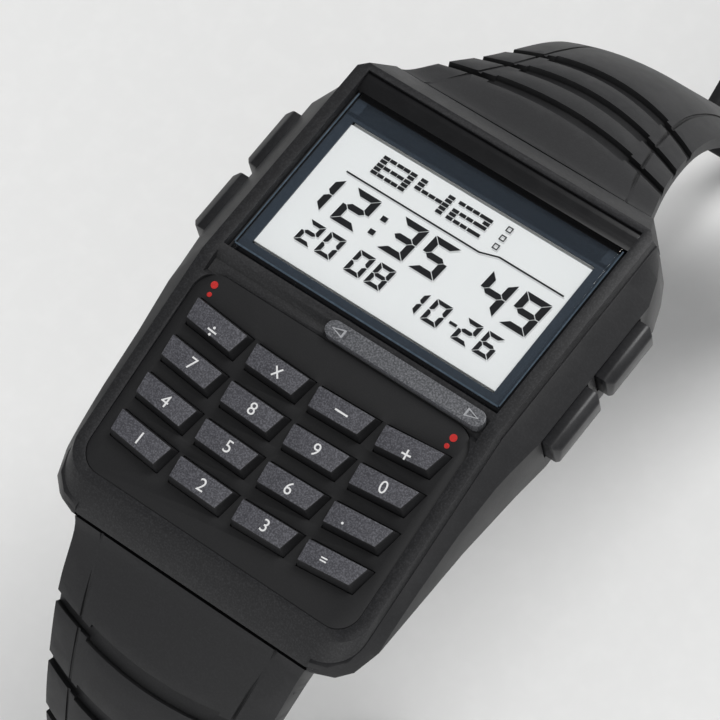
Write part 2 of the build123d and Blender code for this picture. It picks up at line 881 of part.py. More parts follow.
# Side pushers
pusher_places = [
    ("right_upper", 1, pusher_upper_y),
    ("right_lower", 1, pusher_lower_y),
    ("left_upper", -1, pusher_upper_y),
    ("left_lower", -1, pusher_lower_y),
]
pusher_reach = shoulder_half + pusher_stand
slot_floor_x = pusher_reach - pusher_head_depth - pusher_travel - part_gap
head_back_x = pusher_reach - pusher_head_depth


def pusher_slot(side, y):
    """Recess for a pusher head, its spring well and the bore for its stem."""
    half_y = pusher_length / 2 + pusher_side_gap
    half_z = pusher_height / 2 + pusher_side_gap
    slot = plain_box(slot_floor_x, shoulder_half + overrun, y - half_y, y + half_y,
                     pusher_mid_z - half_z, pusher_mid_z + half_z)
    slot += x_rod(spring_well_radius, slot_floor_x - spring_well_depth, slot_floor_x, y, pusher_mid_z)
    slot += x_rod(pusher_stem_radius + running_gap, cavity_half - overrun, slot_floor_x, y, pusher_mid_z)
    slot += x_rod(pusher_collar_radius + part_gap, cavity_half - overrun, collar_room_half, y, pusher_mid_z)
    return slot if side > 0 else mirror(slot, Plane.YZ)


def make_pusher(side, y):
    half_z = pusher_height / 2
    edge = pusher_reach - pusher_bevel
    outline = [
        (head_back_x, pusher_mid_z + half_z),
        (edge - pusher_bevel / 2, pusher_mid_z + half_z),
        (pusher_reach, pusher_mid_z + half_z - pusher_bevel),
        (pusher_reach - pusher_bevel / 2, pusher_mid_z - half_z),
        (head_back_x, pusher_mid_z - half_z),
    ]
    half_y = pusher_length / 2
    head = front_prism(outline, y - half_y, y + half_y)
    trim = [
        (head_back_x, y - half_y),
        (edge, y - half_y),
        (pusher_reach, y - half_y + pusher_bevel),
        (pusher_reach, y + half_y - pusher_bevel),
        (edge, y + half_y),
        (head_back_x, y + half_y),
    ]
    head &= extrude(plan_face(trim, -2 * overrun), amount=2 * overrun)
    head -= x_rod(spring_well_radius, head_back_x, head_back_x + spring_well_depth, y, pusher_mid_z)
    collar_out = collar_room_half - running_gap
    collar_in = collar_out - pusher_collar_thick
    stem = x_rod(pusher_stem_radius, collar_in, head_back_x + spring_well_depth, y, pusher_mid_z)
    stem += x_rod(pusher_collar_radius, collar_in, collar_out, y, pusher_mid_z)
    pusher = head + stem
    return pusher if side > 0 else mirror(pusher, Plane.YZ)


def make_pusher_spring(side, y):
    """Coil round the stem, from the well in the body to the well in the head."""
    low = slot_floor_x - spring_well_depth + spring_wire
    high = head_back_x + spring_well_depth - spring_wire
    path = Helix(pitch=(high - low) / spring_turns, height=high - low, radius=spring_mean_radius)
    section = Plane(origin=path @ 0, z_dir=path % 0) * Circle(spring_wire / 2)
    coil = sweep(section, path=path, is_frenet=True)
    coil = Pos(low, y, pusher_mid_z) * Rot(0, 90, 0) * coil
    return coil if side > 0 else mirror(coil, Plane.YZ)


def leaf_outline(side, y, extra):
    """Leaf contact on the edge of the circuit board, foot and upright, grown by an extra."""
    half = leaf_width / 2 + extra
    blade_in = circuit_half - leaf_thick - extra
    foot_in = circuit_half - leaf_foot - extra
    foot_top = circuit_top_z + leaf_thick + extra
    leaf = plain_box(foot_in, circuit_half + 2 * extra, y - half, y + half, circuit_top_z, foot_top)
    leaf += plain_box(blade_in, circuit_half + 2 * extra, y - half, y + half, circuit_top_z,
                      circuit_top_z + leaf_rise + extra)
    return leaf if side > 0 else mirror(leaf, Plane.YZ)


def make_side_contacts():
    """Small leaf contacts that the pusher stems press."""
    leaves = Part()
    for _, side, y in pusher_places:
        leaves += leaf_outline(side, y, 0.0)
    return leaves


# Strap
class Run:
    """Outer line of a strap half in (out, z), made of tangent arcs and one straight run."""

    def __init__(self, start, slope, radii, turns, straight):
        self.pieces = []
        point = start
        for radius, turn in zip(radii, turns):
            centre = (point[0] - radius * sin(radians(slope)), point[1] - radius * cos(radians(slope)))
            self.pieces.append((point, slope, radius, turn, centre))
            slope += turn
            point = (centre[0] + radius * sin(radians(slope)), centre[1] + radius * cos(radians(slope)))
        self.pieces.append((point, slope, None, straight, None))
        self.bend_end = point
        self.end_slope = slope
        self.length = sum(radius * radians(turn) for radius, turn in zip(radii, turns)) + straight

    def at(self, distance, depth=0.0):
        """Point and slope at a distance along the outer line, sunk by a depth."""
        for point, slope, radius, turn, centre in self.pieces:
            size = turn if radius is None else radius * radians(turn)
            if distance <= size or radius is None:
                break
            distance -= size
        if radius is None:
            along = (cos(radians(slope)), -sin(radians(slope)))
            point = shifted(point, along, distance)
        else:
            slope += degrees(distance / radius)
            point = (centre[0] + radius * sin(radians(slope)), centre[1] + radius * cos(radians(slope)))
        inward = (-sin(radians(slope)), -cos(radians(slope)))
        return shifted(point, inward, depth), slope

    def edges(self, depth):
        """Edges of the line sunk by a depth."""
        result = []
        travelled = 0.0
        for point, slope, radius, turn, centre in self.pieces:
            size = turn if radius is None else radius * radians(turn)
            first = self.at(travelled, depth)[0]
            middle = self.at(travelled + size / 2, depth)[0]
            last = self.at(travelled + size, depth)[0]
            result.append(Line(first, last) if radius is None else ThreePointArc(first, middle, last))
            travelled += size
        return result


strap_6_start = shifted(band_6_low, band_6_run, butt_gap)
strap_6_run = Run((-strap_6_start[0], strap_6_start[1]), strap_6_slope, strap_6_radii, strap_6_turns,
                  strap_tail_length)
table_z = strap_6_run.bend_end[1]
strap_12_start = shifted(band_12_low, band_12_run, butt_gap)
bend_12 = Run(strap_12_start, strap_12_slope, strap_12_radii, strap_12_turns, 0.0)
end_12_slope = bend_12.end_slope
end_drop = sin(radians(end_12_slope))
end_lean = cos(radians(end_12_slope))
buckle_fall = (buckle_reach + buckle_eye_radius) * end_drop + buckle_thick / 2 * end_lean
pivot_height = table_z + buckle_fall
strap_12_straight = (bend_12.bend_end[1] - strap_thick / 2 * end_lean - pivot_height) / end_drop
strap_12_straight -= buckle_eye_radius / 2
strap_12_run = Run(strap_12_start, strap_12_slope, strap_12_radii, strap_12_turns, strap_12_straight)
buckle_pivot = shifted(strap_12_run.at(strap_12_run.length, strap_thick / 2)[0],
                       (end_lean, -end_drop), buckle_eye_radius / 2)


def share_at(shares, place):
    """Share read between the entries of a table of (place, share)."""
    for (low, first), (high, last) in zip(shares, shares[1:]):
        if place <= high:
            return first + (last - first) * (place - low) / (high - low)
    return shares[-1][1]


def strap_half_at(half, taper, distance):
    """Half width of a strap half at a distance along it."""
    return strap_tail_half + share_at(taper_shares, distance / taper) * (half - strap_tail_half)


def strap_section(run, half, taper, distance, sink, spread):
    """Section across a strap, flat underneath and arched on top.

    The groove floor is the same section with its top sunk by a depth and the rest spread out."""
    width = strap_half_at(half, taper, distance)
    drop = sink + share_at(crown_shares, distance / run.length) * (strap_thick - strap_edge_thick)
    low = strap_thick + spread
    (out, z), slope = run.at(distance)
    frame = Plane(origin=(0, out, z), x_dir=(1, 0, 0),
                  z_dir=(0, cos(radians(slope)), -sin(radians(slope))))
    rest = [(width, drop), (width + spread, low), (-width - spread, low), (-width, drop)]
    if spread > 0:
        rest = [rest[0], (width + spread, drop)] + rest[1:3] + [(-width - spread, drop), rest[3]]
    return frame * make_face([ThreePointArc(rest[-1], (0, sink), rest[0]), Polyline(*rest)])


def ribbon(run, half, taper, sink=0.0, spread=0.0):
    """Strap half run along its line, narrowing and arching as it goes."""
    sections = [strap_section(run, half, taper, run.length * i / strap_stations, sink, spread)
                for i in range(strap_stations + 1)]
    return loft(sections)


def knuckle_web(run, pivot, in_way):
    """Side outline of the web between the knuckle and the strap."""
    reach = strap_end_thick * web_reach_share
    return [
        shifted(run.at(0.0)[0], in_way, end_web_drop),
        (pivot[0] + knuckle_radius * sin(radians(web_lean)), pivot[1] + knuckle_radius * cos(radians(web_lean))),
        pivot,
        run.at(0.0, strap_end_thick)[0],
        run.at(reach, strap_thick)[0],
        run.at(reach, strap_thick / 2)[0],
    ]


def groove_cutters(run, first, pitch, half, taper):
    """Bowed transverse slots, each wider over the middle of the strap."""
    cutters = []
    for index in range(groove_count):
        distance = first + index * pitch
        width = strap_half_at(half, taper, distance)
        bow_radius = (width ** 2 + groove_bow ** 2) / (2 * groove_bow)
        (out, z), slope = run.at(distance)
        frame = Plane(origin=(0, out, z), x_dir=(-1, 0, 0),
                      z_dir=(0, sin(radians(slope)), cos(radians(slope))))

        def band(slot_width, reach):
            ring = Circle(bow_radius + slot_width / 2) - Circle(bow_radius - slot_width / 2)
            window = Pos(0, -bow_radius) * Rectangle(2 * reach, 2 * groove_bow + 2 * slot_width)
            return Pos(0, bow_radius - groove_bow) * (ring & window)
        shape = band(groove_width, width + overrun) + band(groove_wide, width * groove_wide_share)
        cutters.append(frame * Pos(0, 0, -strap_thick) * extrude(shape, amount=strap_thick + overrun / 2))
    return cutters


def hole_cutters(run, start, count, pitch):
    """Oblong buckle holes through the tail."""
    cutters = []
    for index in range(count):
        (out, z), slope = run.at(run.length - start - index * pitch)
        frame = Plane(origin=(0, out, z), x_dir=(1, 0, 0),
                      z_dir=(0, sin(radians(slope)), cos(radians(slope))))
        shape = SlotOverall(hole_length, hole_width)
        cutters.append(frame * Pos(0, 0, -2 * strap_thick) * extrude(shape, amount=3 * strap_thick))
    return cutters


def make_strap(run, pivot, half, taper, first, pitch, in_way):
    """Strap half drawn as if it ran towards +Y."""
    body = ribbon(run, half, taper)
    core = ribbon(run, half, taper, groove_depth, strap_thick)
    for cutter in groove_cutters(run, first, pitch, half, taper):
        body -= cutter - core
    body += side_prism(knuckle_web(run, pivot, in_way), strap_half_at(half, taper, strap_end_thick))
    body += x_rod(knuckle_radius, -half, half, pivot[0], pivot[1])
    body -= x_rod(bar_radius + running_gap, -2 * half, 2 * half, pivot[0], pivot[1])
    return body


def make_strap_12():
    strap = make_strap(strap_12_run, (pivot_12_y, pivot_12_z), strap_12_half, strap_12_taper,
                       groove_first, groove_pitch, band_12_in)
    y, z = buckle_pivot
    strap += x_rod(strap_thick / 2, -strap_tail_half, strap_tail_half, y, z)
    strap -= x_rod(buckle_bar_radius + running_gap, -2 * strap_tail_half, 2 * strap_tail_half, y, z)
    notch = prong_width / 2 + prong_slot
    strap -= x_rod(prong_eye_radius + prong_thick + prong_slot, -notch, notch, y, z)
    return strap


def make_strap_6():
    strap = make_strap(strap_6_run, (-pivot_6_y, pivot_6_z), strap_6_half, strap_6_taper,
                       groove_6_first, groove_6_pitch, (-band_6_in[0], band_6_in[1]))
    end = strap_6_run.at(strap_6_run.length)[0]
    corner = plain_box(-strap_tail_half - overrun, strap_tail_half + overrun, end[0] - overrun,
                       end[0] + tail_tip_radius, table_z - overrun, table_z + 2 * strap_thick)
    keep = Pos(0, 0, table_z - overrun) * extrude(tail_tip_shape(end[0]), amount=4 * overrun)
    strap -= corner - keep
    for cutter in hole_cutters(strap_6_run, hole_start, hole_count, hole_pitch):
        strap -= cutter
    return mirror(strap, Plane.XZ)


def tail_tip_shape(end_y):
    """Rounded end of the tail, seen from above, with an overlong stem."""
    half = strap_tail_half
    tip = ThreePointArc((-half, end_y + tail_tip_radius), (0, end_y), (half, end_y + tail_tip_radius))
    rest = Polyline((half, end_y + tail_tip_radius), (half, end_y + 2 * tail_tip_radius + overrun),
                    (-half, end_y + 2 * tail_tip_radius + overrun), (-half, end_y + tail_tip_radius))
    return make_face([tip, rest])


def make_spring_bar(half, y, z):
    bar = x_rod(bar_radius, -half + bar_tip_length, half - bar_tip_length, y, z)
    return bar + x_rod(bar_tip_radius, -half + part_gap, half - part_gap, y, z)


# Buckle
def buckle_frame_plane():
    """Working plane with its origin on the buckle bar, Y away from the case and Z outwards."""
    return Plane(origin=(0, buckle_pivot[0], buckle_pivot[1]), x_dir=(-1, 0, 0),
                 z_dir=(0, end_drop, end_lean)) * Rot(0, 0, 180)


def make_buckle_frame():
    half = buckle_thick / 2
    outer = Pos(0, buckle_reach / 2)
    outer *= RectangleRounded(2 * buckle_outer_half, buckle_reach + 2 * buckle_eye_radius, buckle_corner)
    inner = Pos(0, (buckle_reach - buckle_bar_width) / 2 + buckle_eye_radius / 2 - overrun)
    inner *= Rectangle(2 * buckle_inner_half, buckle_reach - buckle_bar_width + buckle_eye_radius + 2 * overrun)
    ring = extrude(outer - inner, amount=half, both=True)
    for side in (-1, 1):
        x = side * (buckle_inner_half + buckle_outer_half) / 2
        ear = Pos(x, 0, 0) * Rot(0, 90, 0) * Cylinder(buckle_eye_radius,
                                                      buckle_outer_half - buckle_inner_half)
        ring += ear
    ring -= Rot(0, 90, 0) * Cylinder(buckle_bar_radius, 2 * buckle_outer_half - 2 * prong_slot)
    rest = prong_width / 2 + prong_slot
    ring -= Pos(0, buckle_reach, half) * Box(2 * rest, 2 * overrun, prong_thick / 2)
    return buckle_frame_plane() * ring


def make_buckle_bar():
    return x_rod(buckle_bar_radius, -buckle_outer_half + prong_slot, buckle_outer_half - prong_slot,
                 buckle_pivot[0], buckle_pivot[1])


def make_prong():
    half = buckle_thick / 2
    low = half - prong_thick / 4 + running_gap
    rod = Pos(0, (buckle_reach + prong_eye_radius) / 2, low + prong_thick / 2)
    rod *= Box(prong_width, buckle_reach - prong_eye_radius, prong_thick)
    eye = Rot(0, 90, 0) * Cylinder(prong_eye_radius, prong_width)
    neck = Pos(0, prong_eye_radius, low + prong_thick / 2) * Box(prong_width, 2 * prong_eye_radius, prong_thick)
    prong = rod + eye + neck
    prong -= Rot(0, 90, 0) * Cylinder(buckle_bar_radius + running_gap, 2 * prong_width)
    return buckle_frame_plane() * prong


def make_strap_loop():
    """Loose loop round the strap, on the straight run just above the buckle."""
    distance = strap_12_run.length - buckle_eye_radius - loop_rest - loop_width / 2
    (y, z), slope = strap_12_run.at(distance, strap_thick / 2)
    frame = Plane(origin=(0, y, z), x_dir=(-1, 0, 0), z_dir=(0, sin(radians(slope)), cos(radians(slope))))
    half_x = strap_tail_half + loop_gap
    low = -strap_thick / 2 - loop_gap
    high = strap_thick / 2 + loop_back_room
    outer = plain_box(-half_x - loop_wall, half_x + loop_wall, -loop_width / 2, loop_width / 2,
                      low - loop_wall, high + loop_wall)
    inner = plain_box(-half_x, half_x, -loop_width, loop_width, low, high)
    return frame * (outer - inner)


# Placing on the table
frame_solid = frame_block()
strap_12 = make_strap_12()
strap_6 = make_strap_6()
buckle_frame = make_buckle_frame()
strap_loop = make_strap_loop()
far_12 = max(piece.bounding_box().max.Y for piece in (strap_12, strap_loop, buckle_frame))
far_6 = strap_6.bounding_box().min.Y
stand = Pos(0, -(far_12 + far_6) / 2, -table_z)

nodes = {
    "top_frame": make_top_frame(),
    "badge_plate": make_badge_plate(),
    "case_body": make_case_body(frame_solid),
    "case_back": make_case_back(),
    "case_back_seal": make_back_seal(),
    "case_back_screws": make_back_screws(),
    "crystal": make_crystal(),
    "crystal_seal": make_crystal_seal(),
    "display_mask": make_display_mask(),
    "lcd_panel": make_lcd_panel(),
    "light_panel": make_light_panel(),
    "contact_strips": make_contact_strips(),
    "module_holder": make_module_holder(),
    "circuit_board": make_circuit_board(),
    "cell_tray": make_cell_tray(),
    "battery": make_battery(),
    "battery_ring": make_battery_ring(),
    "battery_clip": make_battery_clip(),
    "processor_chip": make_chip(),
    "quartz_can": make_quartz_can(),
    "sounder_disc": make_sounder(),
    "sounder_contact": make_sounder_contact(),
    "side_contacts": make_side_contacts(),
    "keypad_plate": make_keypad_plate(),
    "key_sheet": make_key_sheet(),
    "key_board": make_key_board(),
    "spring_bar_12": make_spring_bar(bar_12_half, pivot_12_y, pivot_12_z),
    "spring_bar_6": make_spring_bar(bar_6_half, pivot_6_y, pivot_6_z),
    "strap_12": strap_12,
    "strap_6": strap_6,
    "buckle_frame": buckle_frame,
    "buckle_bar": make_buckle_bar(),
    "buckle_prong": make_prong(),
    "strap_loop": strap_loop,
}
key_names = [
    ["key_divide", "key_multiply", "key_minus", "key_plus"],
    ["key_7", "key_8", "key_9", "key_0"],
    ["key_4", "key_5", "key_6", "key_point"],
    ["key_1", "key_2", "key_3", "key_equals"],
]
for row in range(key_rows):
    for column in range(key_columns):
        nodes[key_names[row][column]] = make_key(row, column)
for place, side, y in pusher_places:
    nodes["pusher_" + place] = make_pusher(side, y)
    nodes["pusher_spring_" + place] = make_pusher_spring(side, y)

os.makedirs("parts", exist_ok=True)
for name, shape in nodes.items():
    export_step(stand * shape, "parts/" + name + ".step")

lift = stand.position
print("shift of the case frame, mm:", round(lift.Y, 4), round(lift.Z, 4))
print("buckle pivot:", round(buckle_pivot[0] + lift.Y, 4), round(buckle_pivot[1] + lift.Z, 4),
      "slope", end_12_slope)
print("pivots:", round(pivot_12_y + lift.Y, 4), round(pivot_12_z + lift.Z, 4),
      round(pivot_6_y + lift.Y, 4), round(pivot_6_z + lift.Z, 4))
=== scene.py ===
import json
from math import cos, degrees, radians, sin, tan

import bmesh
import bpy
from mathutils import Matrix, Vector

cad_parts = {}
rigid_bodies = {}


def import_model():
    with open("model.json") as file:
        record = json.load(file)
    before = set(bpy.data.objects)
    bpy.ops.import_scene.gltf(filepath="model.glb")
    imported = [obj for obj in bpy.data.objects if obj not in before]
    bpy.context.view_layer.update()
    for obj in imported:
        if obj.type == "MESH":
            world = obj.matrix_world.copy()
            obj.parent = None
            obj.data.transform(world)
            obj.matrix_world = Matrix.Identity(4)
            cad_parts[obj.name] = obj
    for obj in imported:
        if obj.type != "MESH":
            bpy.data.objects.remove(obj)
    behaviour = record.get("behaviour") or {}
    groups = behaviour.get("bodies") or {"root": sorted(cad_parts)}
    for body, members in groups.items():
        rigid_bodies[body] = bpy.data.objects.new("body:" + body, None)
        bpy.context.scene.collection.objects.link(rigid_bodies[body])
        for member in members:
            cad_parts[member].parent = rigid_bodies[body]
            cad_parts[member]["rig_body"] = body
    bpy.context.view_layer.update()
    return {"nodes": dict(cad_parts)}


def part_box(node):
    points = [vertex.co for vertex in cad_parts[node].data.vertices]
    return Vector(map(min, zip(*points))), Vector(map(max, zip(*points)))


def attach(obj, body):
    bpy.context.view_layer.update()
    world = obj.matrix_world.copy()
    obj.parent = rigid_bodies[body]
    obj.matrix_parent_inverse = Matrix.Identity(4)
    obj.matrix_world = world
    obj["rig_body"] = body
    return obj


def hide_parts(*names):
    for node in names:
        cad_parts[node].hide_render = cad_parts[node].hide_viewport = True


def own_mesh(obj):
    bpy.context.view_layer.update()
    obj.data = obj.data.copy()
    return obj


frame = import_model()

# Wrist calculator watch, face up on its open strap.
# Sizes below are in millimetres, in the frame of the case: X towards 3 o'clock,
# Y towards 12 o'clock, Z out of the face with 0 on the rails beside the display.
mm = 0.001
end_12_y = 26.8
kink_y = 2.9
key_slope = 13.9
plate_recess = 0.35
key_rise = 0.70
print_thick = 0.02
print_sink = 0.01

rail_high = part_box("top_frame")[1]
case_place = Matrix.Translation((0, rail_high.y - end_12_y * mm, rail_high.z))
kink_place = case_place @ Matrix.Translation((0, kink_y * mm, 0))
keypad_place = kink_place @ Matrix.Rotation(radians(key_slope), 4, "X")


# Materials

def linear(code):
    """Linear colour of an sRGB hex code."""
    shares = [int(code[i:i + 2], 16) / 255 for i in (1, 3, 5)]
    return [s / 12.92 if s <= 0.04045 else ((s + 0.055) / 1.055) ** 2.4 for s in shares] + [1]


def socket(sockets, key):
    """Socket of a node by its identifier or its name."""
    for one in sockets:
        if one.identifier == key:
            return one
    return sockets[key]


def add(tree, kind, settings, links=()):
    """Adds a node with its settings and links. A link is (input, node, output)."""
    node = tree.nodes.new(kind)
    for key, value in settings.items():
        if hasattr(node, key):
            setattr(node, key, value)
        else:
            socket(node.inputs, key).default_value = value
    for key, source, output in links:
        tree.links.new(socket(source.outputs, output), socket(node.inputs, key))
    return node


def new_finish(name):
    """Empty material and its node tree."""
    finish = bpy.data.materials.new(name)
    finish.use_nodes = True
    finish.node_tree.nodes.clear()
    return finish, finish.node_tree


def noise(tree, size, detail, stretch=(1, 1, 1)):
    """Noise whose grains are a size in millimetres, drawn out along an axis by a stretch."""
    place = add(tree, "ShaderNodeTexCoord", {})
    scaled = add(tree, "ShaderNodeMapping", {"Scale": stretch}, [("Vector", place, "Object")])
    return add(tree, "ShaderNodeTexNoise",
               {"Scale": 1 / (size * mm), "Detail": detail, "Roughness": 0.6},
               [("Vector", scaled, "Vector")])


def blend_of(tree, low, high, pattern, start, stop):
    """Colour that goes from low to high as a pattern passes from start to stop."""
    reach = add(tree, "ShaderNodeMapRange", {"From Min": start, "From Max": stop},
                [("Value", pattern, "Fac")])
    return add(tree, "ShaderNodeMix",
               {"data_type": "RGBA", "A_Color": linear(low), "B_Color": linear(high)},
               [("Factor_Float", reach, "Result")])


speck_blend = 0.25
rough_spread = 0.03
cloud_low = 0.3
cloud_high = 0.7


def moulded(name, low, high, rough, grain, depth, speck=0.45, metal=0.0, ior=1.49,
            stretch=(1, 1, 1), cloud=2.0, painted_shade_reach=0.0):
    """Moulded, sprayed or brushed surface: fine grain in relief and colour, with faint cloudy patches.

    Grain, depth, cloud and the reach of the painted shade are in millimetres. Grooves and corners
    narrower than that reach get painted shade: ambient occlusion darkens their colour."""
    finish, tree = new_finish(name)
    fine = noise(tree, grain, 2, stretch)
    patches = noise(tree, cloud, 2)
    tint = blend_of(tree, low, high, fine, speck, speck + speck_blend)
    colour = (tint, "Result_Color")
    if painted_shade_reach > 0:
        # Painted shade: ambient occlusion darkens the colour in grooves and corners within the reach
        shaded = add(tree, "ShaderNodeAmbientOcclusion",
                     {"samples": 6, "only_local": True, "Distance": painted_shade_reach * mm},
                     [("Color", tint, "Result_Color")])
        colour = (shaded, "Color")
    shade = add(tree, "ShaderNodeMapRange",
                {"From Min": cloud_low, "From Max": cloud_high,
                 "To Min": rough - rough_spread, "To Max": rough + rough_spread},
                [("Value", patches, "Fac")])
    relief = add(tree, "ShaderNodeBump", {"Strength": 1.0, "Distance": depth * mm},
                 [("Height", fine, "Fac")])
    surface = add(tree, "ShaderNodeBsdfPrincipled", {"Metallic": metal, "IOR": ior},
                  [("Base Color", *colour), ("Roughness", shade, "Result"),
                   ("Normal", relief, "Normal")])
    add(tree, "ShaderNodeOutputMaterial", {}, [("Surface", surface, "BSDF")])
    return finish


def clear_glass(name, smear):
    """Flat polished window: you see straight through it, with reflections at a slant.

    Smears about so many millimetres wide dull it a little."""
    finish, tree = new_finish(name)
    smears = noise(tree, smear, 1)
    rough = add(tree, "ShaderNodeMapRange", {"To Min": 0.02, "To Max": 0.05},
                [("Value", smears, "Fac")])
    gloss = add(tree, "ShaderNodeBsdfGlossy", {"Color": (1, 1, 1, 1)},
                [("Roughness", rough, "Result")])
    through = add(tree, "ShaderNodeBsdfTransparent", {"Color": (0.97, 0.975, 0.98, 1)})
    edge = add(tree, "ShaderNodeFresnel", {"IOR": 1.33})
    # Only the outer side of each face reflects. The inner side would turn to a mirror at a slant,
    # because sight goes straight through this glass, unbent.
    side = add(tree, "ShaderNodeNewGeometry", {})
    outer = add(tree, "ShaderNodeMath", {"operation": "SUBTRACT", "Value": 1.0},
                [("Value_001", side, "Backfacing")])
    shine = add(tree, "ShaderNodeMath", {"operation": "MULTIPLY"},
                [("Value", edge, "Fac"), ("Value_001", outer, "Value")])
    mixed = add(tree, "ShaderNodeMixShader", {}, [("Fac", shine, "Value"), ("Shader", through, "BSDF"),
                                                  ("Shader_001", gloss, "BSDF")])
    add(tree, "ShaderNodeOutputMaterial", {}, [("Surface", mixed, "Shader")])
    return finish


# Charcoal moulded ABS of the frame: spark-eroded grain about 0.15 mm wide that catches small lights,
# with painted shade darkening its corners and grooves
frame_resin = moulded("spark_grained_frame_resin", "#131315", "#29292B",
                      rough=0.5, grain=0.16, depth=0.012, painted_shade_reach=0.8)
# Satin case resin, a shade darker and smoother than the frame, with painted shade in its corners and
# grooves
case_resin = moulded("satin_case_resin", "#121214", "#1B1B1D",
                     rough=0.46, grain=0.22, depth=0.006, painted_shade_reach=0.8)
# Matt fine-etched plate between the keys, the darkest of the plastics
plate_resin = moulded("etched_keypad_plate_resin", "#0D0D0F", "#141416",
                      rough=0.6, grain=0.12, depth=0.006)
# Speckled grey key plastic: pale and dark flecks about 0.14 mm across in a matt skin
key_plastic = moulded("speckled_key_plastic", "#3A3A3F", "#626268",
                      rough=0.52, grain=0.14, depth=0.008, speck=0.42)
# Painted shade on the flared sides of the keys: drawn black and matt, darker than the speckled top
key_side_painted_shade = moulded("key_side_plastic_with_painted_shade", "#101012", "#19191B",
                           rough=0.6, grain=0.14, depth=0.006)
# Sprayed badge, the palest plastic, with a coarser fleck
badge_plastic = moulded("flecked_badge_plastic", "#47484B", "#747579",
                        rough=0.42, grain=0.17, depth=0.01, speck=0.42)
# Side pushers, the same resin as the case with a polished mould face
pusher_resin = moulded("satin_pusher_resin", "#151517", "#1E1E20",
                       rough=0.4, grain=0.25, depth=0.004)
# Soft polyurethane strap: matt, with a slight mould haze and very fine grain, and painted shade in its
# grooves
strap_resin = moulded("matt_strap_polyurethane", "#141416", "#1C1C1E",
                      rough=0.55, grain=0.2, depth=0.005, ior=1.5, painted_shade_reach=1.5)
# Loop, moulded in the same polyurethane, a little paler
loop_resin = moulded("matt_loop_polyurethane", "#19191B", "#222224",
                     rough=0.53, grain=0.2, depth=0.005, ior=1.5)
# Buckle and prong: zinc with black electro-coat, satin with a faint orange peel
buckle_coat = moulded("black_coated_buckle_zinc", "#151517", "#1E1E20",
                      rough=0.3, grain=0.5, depth=0.006, ior=1.5)
# Pressed stainless case back, linished lengthways in lines about 0.08 mm wide
back_steel = moulded("linished_case_back_steel", "#A6A6A8", "#BDBDC0",
                     rough=0.3, grain=0.9, depth=0.003, metal=1.0, ior=1.5, stretch=(10, 0.4, 1))
# Screws, spring bars and buckle bar, turned bright steel with a fine grain
turned_steel = moulded("turned_bright_steel", "#A8A8AA", "#C2C2C4",
                       rough=0.26, grain=0.2, depth=0.002, metal=1.0, ior=1.5)
# Springs and clip, drawn and stamped spring steel, greyer than the turned pieces
spring_steel = moulded("drawn_spring_steel", "#8E8E90", "#A9A9AC",
                       rough=0.33, grain=0.15, depth=0.002, metal=1.0, ior=1.5)
# Nickel skin of the coin cell, lightly scuffed
cell_nickel = moulded("scuffed_cell_nickel", "#B2B2B0", "#CBCBC9",
                      rough=0.28, grain=0.3, depth=0.002, metal=1.0, ior=1.5, stretch=(1, 4, 1))
# Seals of the window and the back, and ring of the cell: soft matt black nitrile
seal_rubber = moulded("black_nitrile_seal", "#18181A", "#222224", rough=0.7, grain=0.1, depth=0.006)
# Layered conductive strips, matt pinkish grey silicone
strip_rubber = moulded("layered_contact_silicone", "#5C4A44", "#8A746B",
                       rough=0.62, grain=0.12, depth=0.006, stretch=(1, 1, 8))
# Key sheet, translucent grey silicone with a soft skin
sheet_rubber = moulded("grey_key_silicone", "#8A8A8C", "#99999B",
                       rough=0.5, grain=0.3, depth=0.004, ior=1.42)
# Module holder and cell tray, natural white acetal with a waxy sheen
holder_plastic = moulded("white_acetal_holder", "#CFCFC9", "#DADAD5",
                         rough=0.45, grain=0.4, depth=0.005)
# Circuit boards: green solder mask over a woven laminate, weave about 0.5 mm
board_laminate = moulded("green_masked_laminate", "#1D5C38", "#2A7449",
                         rough=0.33, grain=0.5, depth=0.01, ior=1.5, stretch=(1, 3, 1))
# Chip, black moulded epoxy with a dull skin
chip_epoxy = moulded("black_chip_epoxy", "#151516", "#1E1E20", rough=0.5, grain=0.1, depth=0.006)
# Quartz can, drawn aluminium with faint pale streaks
can_aluminium = moulded("drawn_can_aluminium", "#C4C4C6", "#D6D6D8",
                        rough=0.3, grain=0.3, depth=0.002, metal=1.0, ior=1.5, stretch=(0.3, 1, 1))
# Sounder disc, its contact and the leaf contacts: rolled brass with faint yellow streaks
rolled_brass = moulded("rolled_brass", "#B5934E", "#CBAA63",
                       rough=0.3, grain=0.3, depth=0.002, metal=1.0, ior=1.5, stretch=(0.3, 2, 1))
# Light panel, milky acrylic, an even soft white
light_acrylic = moulded("milky_light_acrylic", "#DDE0DA", "#E8EBE5",
                        rough=0.4, grain=0.5, depth=0.003)
# Screen print under the window: slate blue border and a glossier black band along its top; the same
# glossy black is painted shade in the dark gap along its right side and bottom
slate_print = moulded("slate_screen_print", "#2C353F", "#323C46", rough=0.4, grain=0.2, depth=0.001)
black_print_and_gap_shade = moulded("black_screen_print_and_painted_gap_shade", "#060608", "#0B0B0D",
                      rough=0.16, grain=0.3, depth=0.0003)
# Rolled top edge of the window, printed black behind: a soft light runs along it
bead_black = moulded("black_rolled_window_edge", "#08080A", "#0D0D0F",
                     rough=0.33, grain=0.3, depth=0.0005, ior=1.6)
# Painted highlight along the polished edge of the window: a thin pale blue line where the light gathers
painted_edge_glint = moulded("painted_glass_edge_glint", "#43505B", "#525F6B",
                     rough=0.2, grain=0.4, depth=0.0005)
# Reflective rear of the display: even pale grey with a faint pearly grain
pearl_reflector = moulded("pearly_display_reflector", "#F1F2F0", "#F8F9F7",
                          rough=0.5, grain=0.12, depth=0.001)
# Dark liquid crystal segments and their soft shadow on the reflector
crystal_ink = moulded("dark_display_segments", "#0E0F12", "#15161A",
                      rough=0.4, grain=0.2, depth=0.001)
segment_shade = moulded("segment_shadow_on_reflector", "#D3D4D3", "#D9DAD9",
                        rough=0.6, grain=0.2, depth=0.001)
